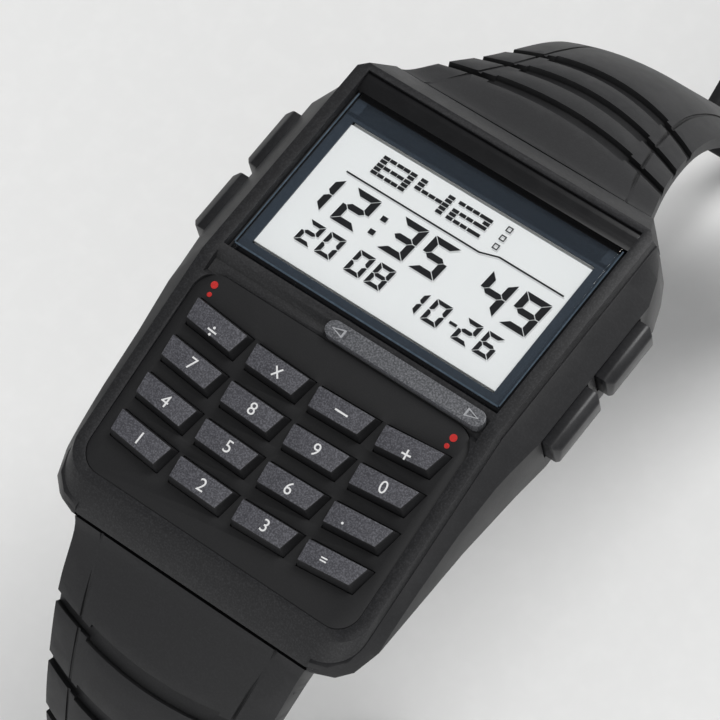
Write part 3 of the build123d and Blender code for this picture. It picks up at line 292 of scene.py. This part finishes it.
# Pad-printed paint, slightly raised and silky: white legends, red marker dots and grey arrows
white_paint = moulded("white_pad_print", "#DCDCDC", "#EDEDED", rough=0.45, grain=0.08, depth=0.002)
red_paint = moulded("red_pad_print", "#B92826", "#D43A36", rough=0.4, grain=0.08, depth=0.002)
grey_paint = moulded("grey_pad_print", "#9A9B9E", "#B0B1B4", rough=0.45, grain=0.08, depth=0.002)
window_glass = clear_glass("polished_window_glass", smear=9.0)


# Pieces

def new_piece(name, shape, finish, body):
    """Turns a bmesh into a piece in the given finish that rides on a body."""
    mesh = bpy.data.meshes.new(name)
    shape.to_mesh(mesh)
    shape.free()
    mesh.materials.append(finish)
    piece = bpy.data.objects.new(name, mesh)
    bpy.context.scene.collection.objects.link(piece)
    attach(piece, body)
    return piece


sharp_turn = 30
crease_turn = 38


def ease_edges(shape, sharp, width, segments):
    """Rounds the sharp edges of a shape, by a width in millimetres, and shades the rest smooth."""
    if width > 0:
        edges = [e for e in shape.edges if e.is_manifold and e.calc_face_angle() > radians(sharp)]
        bmesh.ops.bevel(shape, geom=edges, offset=width * mm, offset_type="OFFSET", segments=segments,
                        profile=0.5, affect="EDGES", clamp_overlap=True, material=-1)
    for face in shape.faces:
        face.smooth = True
    for edge in shape.edges:
        edge.smooth = not edge.is_manifold or edge.calc_face_angle(0) < radians(crease_turn)


# Corners nearer than the weld become one, and faces that meet at under flat_turn degrees are joined
weld = 0.0005
flat_turn = 0.6


def cad_copy(node):
    """Merged copy of a CAD node's loose triangles, with its flat faces joined up."""
    shape = bmesh.new()
    shape.from_mesh(frame["nodes"][node].data)
    bmesh.ops.remove_doubles(shape, verts=shape.verts, dist=weld * mm)
    bmesh.ops.dissolve_limit(shape, angle_limit=radians(flat_turn), verts=shape.verts,
                             edges=shape.edges)
    return shape


def eased_copy(node, width, finish):
    """A piece in a CAD node's shape with its sharp edges rounded, in the node's place."""
    shape = cad_copy(node)
    ease_edges(shape, sharp_turn, width, 2)
    piece = new_piece(node + "_finished", shape, finish, frame["nodes"][node]["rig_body"])
    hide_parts(node)
    return piece


# Node, width of its rounded edges, finish and slot
eased_nodes = [
    ("top_frame", 0.12, frame_resin, "frame_resin"),
    ("case_body", 0.22, case_resin, "case_resin"),
    ("keypad_plate", 0.06, plate_resin, "plate_resin"),
    ("badge_plate", 0.10, badge_plastic, "key_plastic"),
    ("case_back", 0.12, back_steel, "steel"),
    ("case_back_screws", 0.05, turned_steel, "steel"),
    ("crystal", 0.08, window_glass, "crystal_glass"),
    ("strap_12", 0.22, strap_resin, "strap_resin"),
    ("strap_6", 0.22, strap_resin, "strap_resin"),
    ("strap_loop", 0.3, loop_resin, "strap_resin"),
    ("buckle_frame", 0.25, buckle_coat, "buckle_metal"),
    ("buckle_bar", 0.1, turned_steel, "steel"),
    ("buckle_prong", 0.2, buckle_coat, "buckle_metal"),
]
for node, width, finish, slot in eased_nodes:
    eased_copy(node, width, finish)

# Shallow mould lines along the straps, cut a little way in from each edge.
# Each strap's outer line is (out, z) arcs of radius and turn, then a straight run, as on the strap itself.
strap_tail_half = 9.0
taper_shares = ((0, 1), (0.25, 0.62), (0.5, 0.32), (0.75, 0.12), (1, 0))
crown_shares = ((0, 0.08), (0.08, 0.65), (0.16, 1), (0.5, 1), (0.8, 0.1), (1, 0.05))
strap_crown = 1.6
mould_line_radius = 0.2
mould_line_step = 1.5
strap_runs = {
    "strap_12": {"way": 1, "start": (27.0007, -2.2230), "slope": 23.0, "radii": (57.0, 24.5),
                 "turns": (12.8, 29.7), "half": 13.15, "taper": 17.0, "length": 75.2, "inset": 2.6,
                 "stop": 58.0},
    "strap_6": {"way": -1, "start": (20.331, -7.671), "slope": 35.0, "radii": (60.0, 27.0, 120.0, 16.5),
                "turns": (8.0, 31.0, 16.6, 89.4), "half": 12.3, "taper": 34.0, "length": 103.5,
                "inset": 3.0, "stop": 62.0},
}


def share_at(shares, place):
    """Share read between the entries of a table of (place, share)."""
    for (low, first), (high, last) in zip(shares, shares[1:]):
        if place <= high:
            return first + (last - first) * (place - low) / (high - low)
    return shares[-1][1]


def strap_point(run, distance):
    """Point on a strap's outer face, at a distance along it and the run's inset away from its edge."""
    place = Vector(run["start"])
    slope = run["slope"]
    left = distance
    for radius, turn in zip(run["radii"], run["turns"]):
        centre = place - radius * Vector((sin(radians(slope)), cos(radians(slope))))
        turned = min(turn, degrees(left / radius))
        slope += turned
        place = centre + radius * Vector((sin(radians(slope)), cos(radians(slope))))
        left -= radius * radians(turned)
        if turned < turn:
            break
    else:
        place += left * Vector((cos(radians(slope)), -sin(radians(slope))))
    taper = share_at(taper_shares, distance / run["taper"])
    half = strap_tail_half + taper * (run["half"] - strap_tail_half)
    x = half - run["inset"]
    depth = share_at(crown_shares, distance / run["length"]) * strap_crown * (x / half) ** 2
    place -= depth * Vector((sin(radians(slope)), cos(radians(slope))))
    return x, run["way"] * place.x, place.y


def evaluated_mesh(holder):
    """Mesh of an object as it stands, with its modifiers or its curve's thickness."""
    bpy.context.view_layer.update()
    depsgraph = bpy.context.evaluated_depsgraph_get()
    return bpy.data.meshes.new_from_object(holder.evaluated_get(depsgraph))


def mould_line_mesh(run, side):
    """Round rod that follows a strap's outer face along one of its sides."""
    count = int(run["stop"] / mould_line_step)
    points = [strap_point(run, i * mould_line_step) for i in range(count + 1)]
    curve = bpy.data.curves.new("mould_line", "CURVE")
    curve.dimensions = "3D"
    curve.bevel_depth = mould_line_radius * mm
    curve.bevel_resolution = 1
    curve.use_fill_caps = True
    spline = curve.splines.new("POLY")
    spline.points.add(count)
    for point, (x, y, z) in zip(spline.points, points):
        point.co = (*(case_place @ (Vector((side * x, y, z)) * mm)), 1)
    holder = bpy.data.objects.new("mould_line", curve)
    bpy.context.scene.collection.objects.link(holder)
    rod = evaluated_mesh(holder)
    bpy.data.objects.remove(holder)
    bpy.data.curves.remove(curve)
    return rod


def cut_away(strap, rod):
    """Cuts a rod out of a strap."""
    cutter = bpy.data.objects.new("mould_line", rod)
    bpy.context.scene.collection.objects.link(cutter)
    cut = strap.modifiers.new("mould_line", "BOOLEAN")
    cut.object = cutter
    cut.operation = "DIFFERENCE"
    cut.solver = "EXACT"
    result = evaluated_mesh(strap)
    strap.modifiers.clear()
    old = strap.data
    strap.data = result
    bpy.data.meshes.remove(old)
    bpy.data.objects.remove(cutter)
    bpy.data.meshes.remove(rod)


def cut_mould_lines(strap, run):
    """Cuts the mould lines into a strap."""
    for side in (1, -1):
        cut_away(strap, mould_line_mesh(run, side))
    shape = bmesh.new()
    shape.from_mesh(strap.data)
    ease_edges(shape, sharp_turn, 0, 1)
    shape.to_mesh(strap.data)
    shape.free()


for node, run in strap_runs.items():
    cut_mould_lines(bpy.data.objects[node + "_finished"], run)

key_names = ("divide", "multiply", "minus", "plus", "7", "8", "9", "0",
             "4", "5", "6", "point", "1", "2", "3", "equals")
key_up = (keypad_place.to_3x3() @ Vector((0, 0, 1))).normalized()
# Faces that look out of the keypad at least this squarely belong to the top of a key; the rest take
# the painted shade of the key sides
key_top_share = 0.85
key_ease = 0.1
for name in key_names:
    key = eased_copy("key_" + name, key_ease, key_plastic)
    # The sides of each key get painted shade as a second material
    key.data.materials.append(key_side_painted_shade)
    for face in key.data.polygons:
        face.material_index = 0 if face.normal.dot(key_up) > key_top_share else 1
pusher_places = ("right_upper", "right_lower", "left_upper", "left_lower")
pusher_ease = 0.15
for place in pusher_places:
    eased_copy("pusher_" + place, pusher_ease, pusher_resin)

plain_nodes = {
    "crystal_seal": seal_rubber,
    "case_back_seal": seal_rubber,
    "light_panel": light_acrylic,
    "contact_strips": strip_rubber,
    "module_holder": holder_plastic,
    "cell_tray": holder_plastic,
    "circuit_board": board_laminate,
    "key_board": board_laminate,
    "battery": cell_nickel,
    "battery_ring": seal_rubber,
    "battery_clip": spring_steel,
    "processor_chip": chip_epoxy,
    "quartz_can": can_aluminium,
    "sounder_disc": rolled_brass,
    "sounder_contact": rolled_brass,
    "side_contacts": rolled_brass,
    "key_sheet": sheet_rubber,
    "spring_bar_12": turned_steel,
    "spring_bar_6": turned_steel,
    "lcd_panel": pearl_reflector,
    "display_mask": slate_print,
}
for node, finish in plain_nodes.items():
    frame["nodes"][node].material_slots[0].material = finish

# Coil springs behind the pushers, each copied with a mesh of its own
for place in pusher_places:
    node = "pusher_spring_" + place
    spring = eased_copy(node, 0, spring_steel)
    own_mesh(spring)


# Prints: flat shapes a few hundredths of a millimetre thick

def add_patch(shape, points, low, high):
    """Adds a flat patch with the given outline, solid between two heights."""
    corners = [shape.verts.new((x, y, low)) for x, y in points]
    floor = shape.faces.new(corners)
    grown = bmesh.ops.extrude_face_region(shape, geom=[floor], use_keep_orig=True)["geom"]
    tops = [v for v in grown if isinstance(v, bmesh.types.BMVert)]
    bmesh.ops.translate(shape, verts=tops, vec=(0, 0, high - low))


def add_disc(shape, x, y, radius, low, high):
    """Adds a flat disc."""
    grown = bmesh.ops.create_cone(shape, cap_ends=True, segments=28, radius1=radius, radius2=radius,
                                  depth=high - low)["verts"]
    bmesh.ops.translate(shape, verts=grown, vec=(x, y, (low + high) / 2))


def box_points(x0, y0, x1, y1):
    """Corners of an upright rectangle."""
    return [(x0, y0), (x1, y0), (x1, y1), (x0, y1)]


def placed_print(name, shape, place, finish, body):
    """Finishes a print drawn in millimetres and puts it in its place."""
    bmesh.ops.recalc_face_normals(shape, faces=shape.faces)
    bmesh.ops.transform(shape, matrix=place @ Matrix.Scale(mm, 4), verts=shape.verts)
    return new_piece(name, shape, finish, body)


# Display. The art lies under the window, so it is drawn a little up and to the left of the place on
# the window's face where it is seen, in step with its depth.
window_z = -0.55
sight_x_share = -0.393
sight_y_share = 0.276


def sight_shift(z):
    """How far art at a height is moved to be seen in its place on the window's face."""
    depth = window_z - z
    return sight_x_share * depth, sight_y_share * depth


panel_top_z = (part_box("lcd_panel")[1].z - rail_high.z) / mm
art_shift = Vector((*sight_shift(panel_top_z), panel_top_z))
art_place = case_place @ Matrix.Translation(art_shift * mm)

# Which of the seven segments are lit: top, upper left, upper right, middle, lower left, lower right, bottom
lit_segments = {
    "0": "1110111", "1": "0010010", "2": "1011101", "3": "1011011", "4": "0111010",
    "5": "1101011", "6": "1101111", "7": "1010010", "8": "1111111", "9": "1111011",
}
segment_gap = 0.05
digit_lean = tan(radians(4))


def segment_outlines(width, height, bar, post):
    """Outlines of the seven segments of a digit, with mitred ends."""
    gap = segment_gap
    middle = height / 2
    inner_low = gap + post
    inner_high = width - gap - post
    top = [(gap, height), (width - gap, height), (inner_high, height - bar),
           (inner_low, height - bar)]
    upper_left = [(0, height - gap), (0, middle + gap), (post / 2, middle + gap),
                  (post, middle + gap + bar / 2), (post, height - gap - bar)]
    centre = [(gap + post / 2, middle), (inner_low, middle + bar / 2), (inner_high, middle + bar / 2),
              (width - gap - post / 2, middle), (inner_high, middle - bar / 2),
              (inner_low, middle - bar / 2)]
    upper_right = [(width - x, y) for x, y in upper_left]
    lower_left = [(x, height - y) for x, y in upper_left]
    lower_right = [(width - x, y) for x, y in lower_left]
    bottom = [(x, height - y) for x, y in top]
    return [top, upper_left, upper_right, centre, lower_left, lower_right, bottom]


def add_digit(shape, digit, x, y, size, low, high):
    """Adds a leaning seven-segment digit whose lower left corner is at x, y."""
    for outline, lit in zip(segment_outlines(*size), lit_segments[digit]):
        if lit == "1":
            add_patch(shape, [(x + a + b * digit_lean, y + b) for a, b in outline], low, high)


# Width, height, bar and post of a digit
big_size = (2.62, 3.62, 0.58, 0.68)
small_size = (1.66, 2.32, 0.36, 0.42)
big_y = 11.44
big_digits = [("1", -12.44), ("2", -8.66), ("3", -3.60), ("5", -0.28), ("4", 5.77), ("9", 9.18)]
small_digits = [("2", -9.98, 8.16), ("0", -7.8, 8.16), ("0", -4.68, 8.16), ("8", -2.52, 8.16),
                ("1", 1.21, 8.04), ("0", 3.52, 8.04), ("2", 6.68, 8.04), ("6", 8.86, 8.04)]
date_dash = (5.8, 9.03, 6.55, 9.3)
colon_squares = [(-4.94, 13.6), (-5.08, 12.06)]
colon_width = 0.58
colon_height = 0.5

# Five by five blocks of the top line, plain digits
block_digits = {
    "2": ("11111", "00001", "11111", "10000", "11111"),
    "4": ("10001", "10001", "11111", "00001", "00001"),
    "8": ("11111", "10001", "11111", "10001", "11111"),
}
block_columns = [("8", (-8.1, -7.4, -6.64, -5.96, -5.22)), ("4", (-4.1, -3.34, -2.62, -1.9, -1.2)),
                 ("2", (-0.1, 0.66, 1.38, 2.12, 2.76))]
block_rows = (18.64, 18.22, 17.78, 17.38, 16.96)
block_middle_y = 17.8
block_width = 0.64
block_height = 0.33
rule_points = ((-10.15, 15.76), (3.9, 15.76), (5.6, 16.3), (12.25, 16.3))
rule_thick = 0.15
status_squares = (18.85, 17.9, 16.95)
status_x = 4.75
status_size = 0.55
status_line = 0.1


def add_display_art(shape, low, high):
    """Adds everything that the display shows, between two heights over the panel."""
    for digit, x in big_digits:
        add_digit(shape, digit, x, big_y, big_size, low, high)
    for digit, x, y in small_digits:
        add_digit(shape, digit, x, y, small_size, low, high)
    add_patch(shape, box_points(*date_dash), low, high)
    for x, y in colon_squares:
        add_patch(shape, box_points(x, y, x + colon_width, y + colon_height), low, high)
    for digit, columns in block_columns:
        for row, y in zip(block_digits[digit], block_rows):
            for mark, x in zip(row, columns):
                if mark == "1":
                    middle = x + (y - block_middle_y) * digit_lean
                    add_patch(shape, box_points(middle - block_width / 2, y - block_height / 2,
                                                middle + block_width / 2, y + block_height / 2),
                              low, high)
    rule = [(x, y + rule_thick / 2) for x, y in rule_points]
    rule += [(x, y - rule_thick / 2) for x, y in reversed(rule_points)]
    add_patch(shape, rule, low, high)
    for y in status_squares:
        edge = status_size / 2
        inner = edge - status_line
        for x0, y0, x1, y1 in ((-edge, -edge, edge, -inner), (-edge, inner, edge, edge),
                               (-edge, -inner, -inner, inner), (inner, -inner, edge, inner)):
            add_patch(shape, box_points(status_x + x0, y + y0, status_x + x1, y + y1), low, high)


# Heights over the panel of the segments and of their shadow, and the shadow's shift
segment_low = 0.012
segment_high = 0.03
shade_low = 0.002
shade_high = 0.006
shade_shift = Vector((0.13, -0.15, 0))
art = bmesh.new()
add_display_art(art, segment_low, segment_high)
placed_print("display_segments", art, art_place, crystal_ink, "case")
shadow = bmesh.new()
add_display_art(shadow, shade_low, shade_high)
shadow_place = art_place @ Matrix.Translation(shade_shift * mm)
placed_print("display_segment_shadows", shadow, shadow_place, segment_shade, "case")

# Printed border under the window: slate ring, black print along its top, and painted shade in the dark
# gap along its right side and bottom
mask_low, mask_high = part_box("display_mask")
ring_low = (mask_low.z - rail_high.z) / mm
ring_high = (mask_high.z - rail_high.z) / mm
ring_half = mask_high.x / mm
ring_bottom_y = (mask_low.y - case_place.translation.y) / mm
ring_top_y = (mask_high.y - case_place.translation.y) / mm
window_left = -12.66
window_right = 12.76
window_bottom_y = 5.94
window_top_y = 19.94
window_corner = 0.3
slate_top_y = 22.0
slate_right = 13.95
slate_bottom_y = 5.05

cells = 3
near = 0.01


def add_ring(shape, outer, inner, corner, low, high):
    """Adds a rectangular ring with rounded inner corners, from a grid of nine cells."""
    xs = (outer[0], inner[0], inner[2], outer[2])
    ys = (outer[1], inner[1], inner[3], outer[3])
    grid = bmesh.ops.create_grid(shape, x_segments=cells, y_segments=cells, size=cells / 2)["verts"]
    for vert in grid:
        vert.co = (xs[round(vert.co.x + cells / 2)], ys[round(vert.co.y + cells / 2)], low)
    centre = Vector((xs[1] + xs[2], ys[1] + ys[2], 2 * low)) / 2
    middle = [f for f in shape.faces if (f.calc_center_median() - centre).length < near]
    bmesh.ops.delete(shape, geom=middle, context="FACES_ONLY")
    walls = bmesh.ops.extrude_face_region(shape, geom=list(shape.faces), use_keep_orig=True)["geom"]
    tops = [v for v in walls if isinstance(v, bmesh.types.BMVert)]
    bmesh.ops.translate(shape, verts=tops, vec=(0, 0, high - low))
    uprights = [e for e in shape.edges if abs(e.verts[0].co.z - e.verts[1].co.z) > near
                and e.verts[0].co.x in (xs[1], xs[2]) and e.verts[0].co.y in (ys[1], ys[2])]
    bmesh.ops.bevel(shape, geom=uprights, offset=corner, segments=4, profile=0.5, affect="EDGES",
                    material=-1)


mask_shift_x, mask_shift_y = sight_shift(ring_high)
ring = bmesh.new()
add_ring(ring, (-ring_half, ring_bottom_y, ring_half, ring_top_y),
         (window_left + mask_shift_x, window_bottom_y + mask_shift_y,
          window_right + mask_shift_x, window_top_y + mask_shift_y),
         window_corner, ring_low, ring_high)
slate = placed_print("display_border", ring, case_place, slate_print, "case")
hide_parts("display_mask")
band = bmesh.new()
black_print_and_shade_margins = [
    (-ring_half, slate_top_y + mask_shift_y, ring_half, ring_top_y),
    (slate_right + mask_shift_x, slate_bottom_y + mask_shift_y,
     ring_half, slate_top_y + mask_shift_y),
    (-ring_half, ring_bottom_y, ring_half, slate_bottom_y + mask_shift_y),
]
for corners in black_print_and_shade_margins:
    add_patch(band, box_points(*corners), ring_high, ring_high + print_thick)
placed_print("display_top_band", band, case_place, black_print_and_gap_shade, "case")


# Rolled black bead at the top of the window, as a (y, z) outline. A long soft light runs along it.
bead_outline = [(22.5, -0.54), (22.9, -0.38), (23.3, -0.26), (23.75, -0.18), (24.15, -0.2),
                (24.34, -0.3), (24.36, -0.9), (24.1, -0.95), (24.02, -0.54)]
bead_half = 14.3
bead_sharp_turn = 5
bead_ease = 0.06


def add_side_prism(shape, outline, half):
    """Adds a bar along X with a (y, z) outline."""
    corners = [shape.verts.new((-half, y, z)) for y, z in outline]
    end = shape.faces.new(corners)
    grown = bmesh.ops.extrude_face_region(shape, geom=[end], use_keep_orig=True)["geom"]
    far = [v for v in grown if isinstance(v, bmesh.types.BMVert)]
    bmesh.ops.translate(shape, verts=far, vec=(2 * half, 0, 0))


bead = bmesh.new()
add_side_prism(bead, bead_outline, bead_half)
bmesh.ops.recalc_face_normals(bead, faces=bead.faces)
# The bead is drawn with a unit of one millimetre, so the width of its rounding is divided by mm
ease_edges(bead, bead_sharp_turn, bead_ease / mm, 3)
placed_print("window_top_bead", bead, case_place, bead_black, "case")

# Painted highlights: thin pale glints along the polished edges of the window
glint_width = 0.13
glint_half = 13.93
glint_low_z = -0.565
glint_high_z = -0.535
glint_low_y = 5.05
glint_high_y = 22.3
glint_places = [(-glint_half, glint_low_y, -glint_half + glint_width, glint_high_y),
                (glint_half - glint_width, glint_low_y, glint_half, glint_high_y),
                (-glint_half, glint_low_y, glint_half, glint_low_y + glint_width)]
glints = bmesh.new()
for corners in glint_places:
    add_patch(glints, box_points(*corners), glint_low_z, glint_high_z)
placed_print("window_edge_glints", glints, case_place, painted_edge_glint, "case")


# Badge: outlined arrows at its two ends
arrow_line = 0.12
badge_top = 0.10
badge_middle_y = 3.1
arrow_half = 0.42
arrow_run = 1.3
arrow_sink = 0.12
arrow_rise = 0.01
arrow_tips = ((-1.75, 1), (13.45, -1))


def add_outline(shape, points, width, low, high):
    """Adds the outline of a polygon as a thin raised line."""
    middle = Vector((sum(x for x, y in points), sum(y for x, y in points))) / len(points)
    inner = []
    for x, y in points:
        away = Vector((x, y)) - middle
        inner.append(middle + away * (1 - width / away.length))
    for i, (x, y) in enumerate(points):
        j = (i + 1) % len(points)
        add_patch(shape, [(x, y), points[j], tuple(inner[j]), tuple(inner[i])], low, high)


arrows = bmesh.new()
for tip, way in arrow_tips:
    base = tip + way * arrow_run
    corners = [(tip, badge_middle_y), (base, badge_middle_y - arrow_half),
               (base, badge_middle_y + arrow_half)]
    add_outline(arrows, corners, 2 * arrow_line, badge_top - arrow_sink, badge_top + arrow_rise)
placed_print("badge_arrows", arrows, case_place, grey_paint, "case")


# Legends on the keys

text_weld = 1e-5


def text_shape(text):
    """Flat mesh of a text in the built-in font, centred."""
    curve = bpy.data.curves.new("legend", "FONT")
    curve.body = text
    curve.align_x = "CENTER"
    curve.resolution_u = 6
    holder = bpy.data.objects.new("legend", curve)
    bpy.context.scene.collection.objects.link(holder)
    mesh = evaluated_mesh(holder)
    shape = bmesh.new()
    shape.from_mesh(mesh)
    bpy.data.objects.remove(holder)
    bpy.data.curves.remove(curve)
    bpy.data.meshes.remove(mesh)
    bmesh.ops.remove_doubles(shape, verts=shape.verts, dist=text_weld)
    xs = [v.co.x for v in shape.verts]
    ys = [v.co.y for v in shape.verts]
    middle = Vector(((min(xs) + max(xs)) / 2, (min(ys) + max(ys)) / 2, 0))
    bmesh.ops.translate(shape, verts=shape.verts, vec=-middle)
    return shape, max(ys) - min(ys)


digit_legends = {
    "7": (-10.0, -8.6), "8": (-3.24, -9.0), "9": (3.46, -9.0), "0": (10.14, -8.6),
    "4": (-10.1, -12.34), "5": (-3.14, -12.7), "6": (3.36, -12.84),
    "1": (-10.16, -16.1), "2": (-3.16, -16.5), "3": (3.44, -16.44),
}
legend_height = 1.1
legend_top = key_rise + print_thick
legend_low = key_rise - print_sink
fan_turn = 5
fan_start_x = 7


def legend_place(x, y):
    """Place of a legend on the keypad, tilted on the fanned outer columns."""
    turn = fan_turn if x > fan_start_x else -fan_turn if x < -fan_start_x else 0
    return (keypad_place @ Matrix.Translation((x * mm, y * mm, 0))
            @ Matrix.Rotation(radians(turn), 4, "Z"))


for digit, (x, y) in digit_legends.items():
    shape, height = text_shape(digit)
    grown = bmesh.ops.extrude_face_region(shape, geom=list(shape.faces), use_keep_orig=True)["geom"]
    scale = legend_height / height
    bmesh.ops.scale(shape, vec=(scale, scale, 1), verts=shape.verts)
    tops = [v for v in grown if isinstance(v, bmesh.types.BMVert)]
    bmesh.ops.translate(shape, verts=shape.verts, vec=(0, 0, legend_low))
    bmesh.ops.translate(shape, verts=tops, vec=(0, 0, legend_top - legend_low))
    placed_print("legend_" + digit, shape, legend_place(x, y), white_paint, "key_" + digit)

# Signs made of bars (centre x, centre y, length, width, turn) and dots (x, y, radius). Bars that
# cross lie a hair apart in height.
layer_rise = 0.002
sign_legends = {
    "divide": ((-10.16, -5.44), [(0, 0, 0.95, 0.15, 0)], [(0, 0.33, 0.12), (0, -0.33, 0.12)]),
    "multiply": ((-3.24, -5.4), [(0, 0, 1.12, 0.15, 52), (0, 0, 1.12, 0.15, -52)], []),
    "minus": ((3.48, -5.36), [(0, 0, 1.3, 0.16, 0)], []),
    "plus": ((10.2, -5.4), [(0, 0, 0.9, 0.16, 0), (0, 0, 0.9, 0.16, 90)], []),
    "point": ((8.92, -12.84), [], [(0, 0, 0.11)]),
    "equals": ((9.34, -16.14), [(0, 0.13, 0.6, 0.12, 0), (0, -0.13, 0.6, 0.12, 0)], []),
}
for name, ((x, y), bars, dots) in sign_legends.items():
    shape = bmesh.new()
    for layer, (bar_x, bar_y, length, width, turn) in enumerate(bars):
        way = Vector((cos(radians(turn)), sin(radians(turn))))
        side = Vector((-way.y, way.x)) * width / 2
        mid = Vector((bar_x, bar_y))
        ends = [mid - way * length / 2 - side, mid + way * length / 2 - side,
                mid + way * length / 2 + side, mid - way * length / 2 + side]
        add_patch(shape, ends, legend_low, legend_top + layer * layer_rise)
    for dot_x, dot_y, radius in dots:
        add_disc(shape, dot_x, dot_y, radius, legend_low, legend_top)
    placed_print("legend_" + name, shape, legend_place(x, y), white_paint, "key_" + name)

# Red marker dots on the plate, two above each end of the top row of keys: x, y and radius
marker_dots = [(-12.8, 0.94, 0.33), (-12.7, 0.07, 0.22), (12.4, 0.84, 0.33), (12.3, 0.03, 0.23)]
markers = bmesh.new()
for x, y, radius in marker_dots:
    add_disc(markers, x, (y - kink_y) / cos(radians(key_slope)), radius,
             -plate_recess - print_sink, -plate_recess + 2 * print_thick)
placed_print("marker_dots", markers, keypad_place, red_paint, "case")

# Camera of the photograph: 200 mm lens, looking down at the watch from its lower right
right = Vector((0.78282, 0.60761, -0.13414))
up = Vector((-0.49449, 0.73833, 0.45863))
backward = Vector((0.37771, -0.2927, 0.87844))
camera_stand = Vector((125.501, -93.665, 287.123))
camera_data = bpy.data.cameras.new("camera")
camera_data.lens = 200
camera_data.sensor_width = 36
camera_data.clip_end = 20
camera = bpy.data.objects.new("camera", camera_data)
camera_turn = Matrix((right, up, backward)).transposed().to_4x4()
camera.matrix_world = Matrix.Translation(case_place @ (camera_stand * mm)) @ camera_turn
bpy.context.scene.collection.objects.link(camera)
bpy.context.scene.camera = camera

# Pale floor with a faint paper texture
floor_paint = moulded("pale_studio_floor", "#E8E8E7", "#EAEAE9",
                      rough=0.8, grain=3.0, depth=0.01, cloud=40.0)
floor_half = 2500
floor_shape = bmesh.new()
bmesh.ops.create_grid(floor_shape, x_segments=1, y_segments=1, size=floor_half * mm)
floor_mesh = bpy.data.meshes.new("floor")
floor_shape.to_mesh(floor_mesh)
floor_shape.free()
floor_mesh.materials.append(floor_paint)
floor = bpy.data.objects.new("floor", floor_mesh)
bpy.context.scene.collection.objects.link(floor)

# Soft studio light: a room with pale walls and a dim ceiling, and two large soft lamps
world = bpy.data.worlds.new("studio")
world.use_nodes = True
room = world.node_tree
room.nodes.clear()
way = add(room, "ShaderNodeTexCoord", {})
parts = add(room, "ShaderNodeSeparateXYZ", {}, [("Vector", way, "Generated")])
rise = add(room, "ShaderNodeMapRange",
           {"interpolation_type": "SMOOTHSTEP", "From Min": 0.12, "From Max": 0.5,
            "To Min": 0.8, "To Max": 0.16},
           [("Value", parts, "Z")])
glow = add(room, "ShaderNodeBackground", {"Color": linear("#F4F5F7")},
           [("Strength", rise, "Result")])
add(room, "ShaderNodeOutputWorld", {}, [("Surface", glow, "Background")])
bpy.context.scene.world = world
# Name, azimuth, elevation, spread in degrees and power
lamps = [
    ("back_lamp", 62, 50, 32, 2.2),
    ("front_lamp", -62, 45, 60, 1.2),
]
for name, azimuth, elevation, spread, power in lamps:
    lamp = bpy.data.lights.new(name, "SUN")
    lamp.angle = radians(spread)
    lamp.energy = power
    holder = bpy.data.objects.new(name, lamp)
    level = cos(radians(elevation))
    place = Vector((level * cos(radians(azimuth)), level * sin(radians(azimuth)),
                    sin(radians(elevation))))
    holder.location = place
    holder.rotation_euler = place.to_track_quat("Z", "Y").to_euler()
    bpy.context.scene.collection.objects.link(holder)

bpy.context.scene.view_settings.view_transform = "Standard"
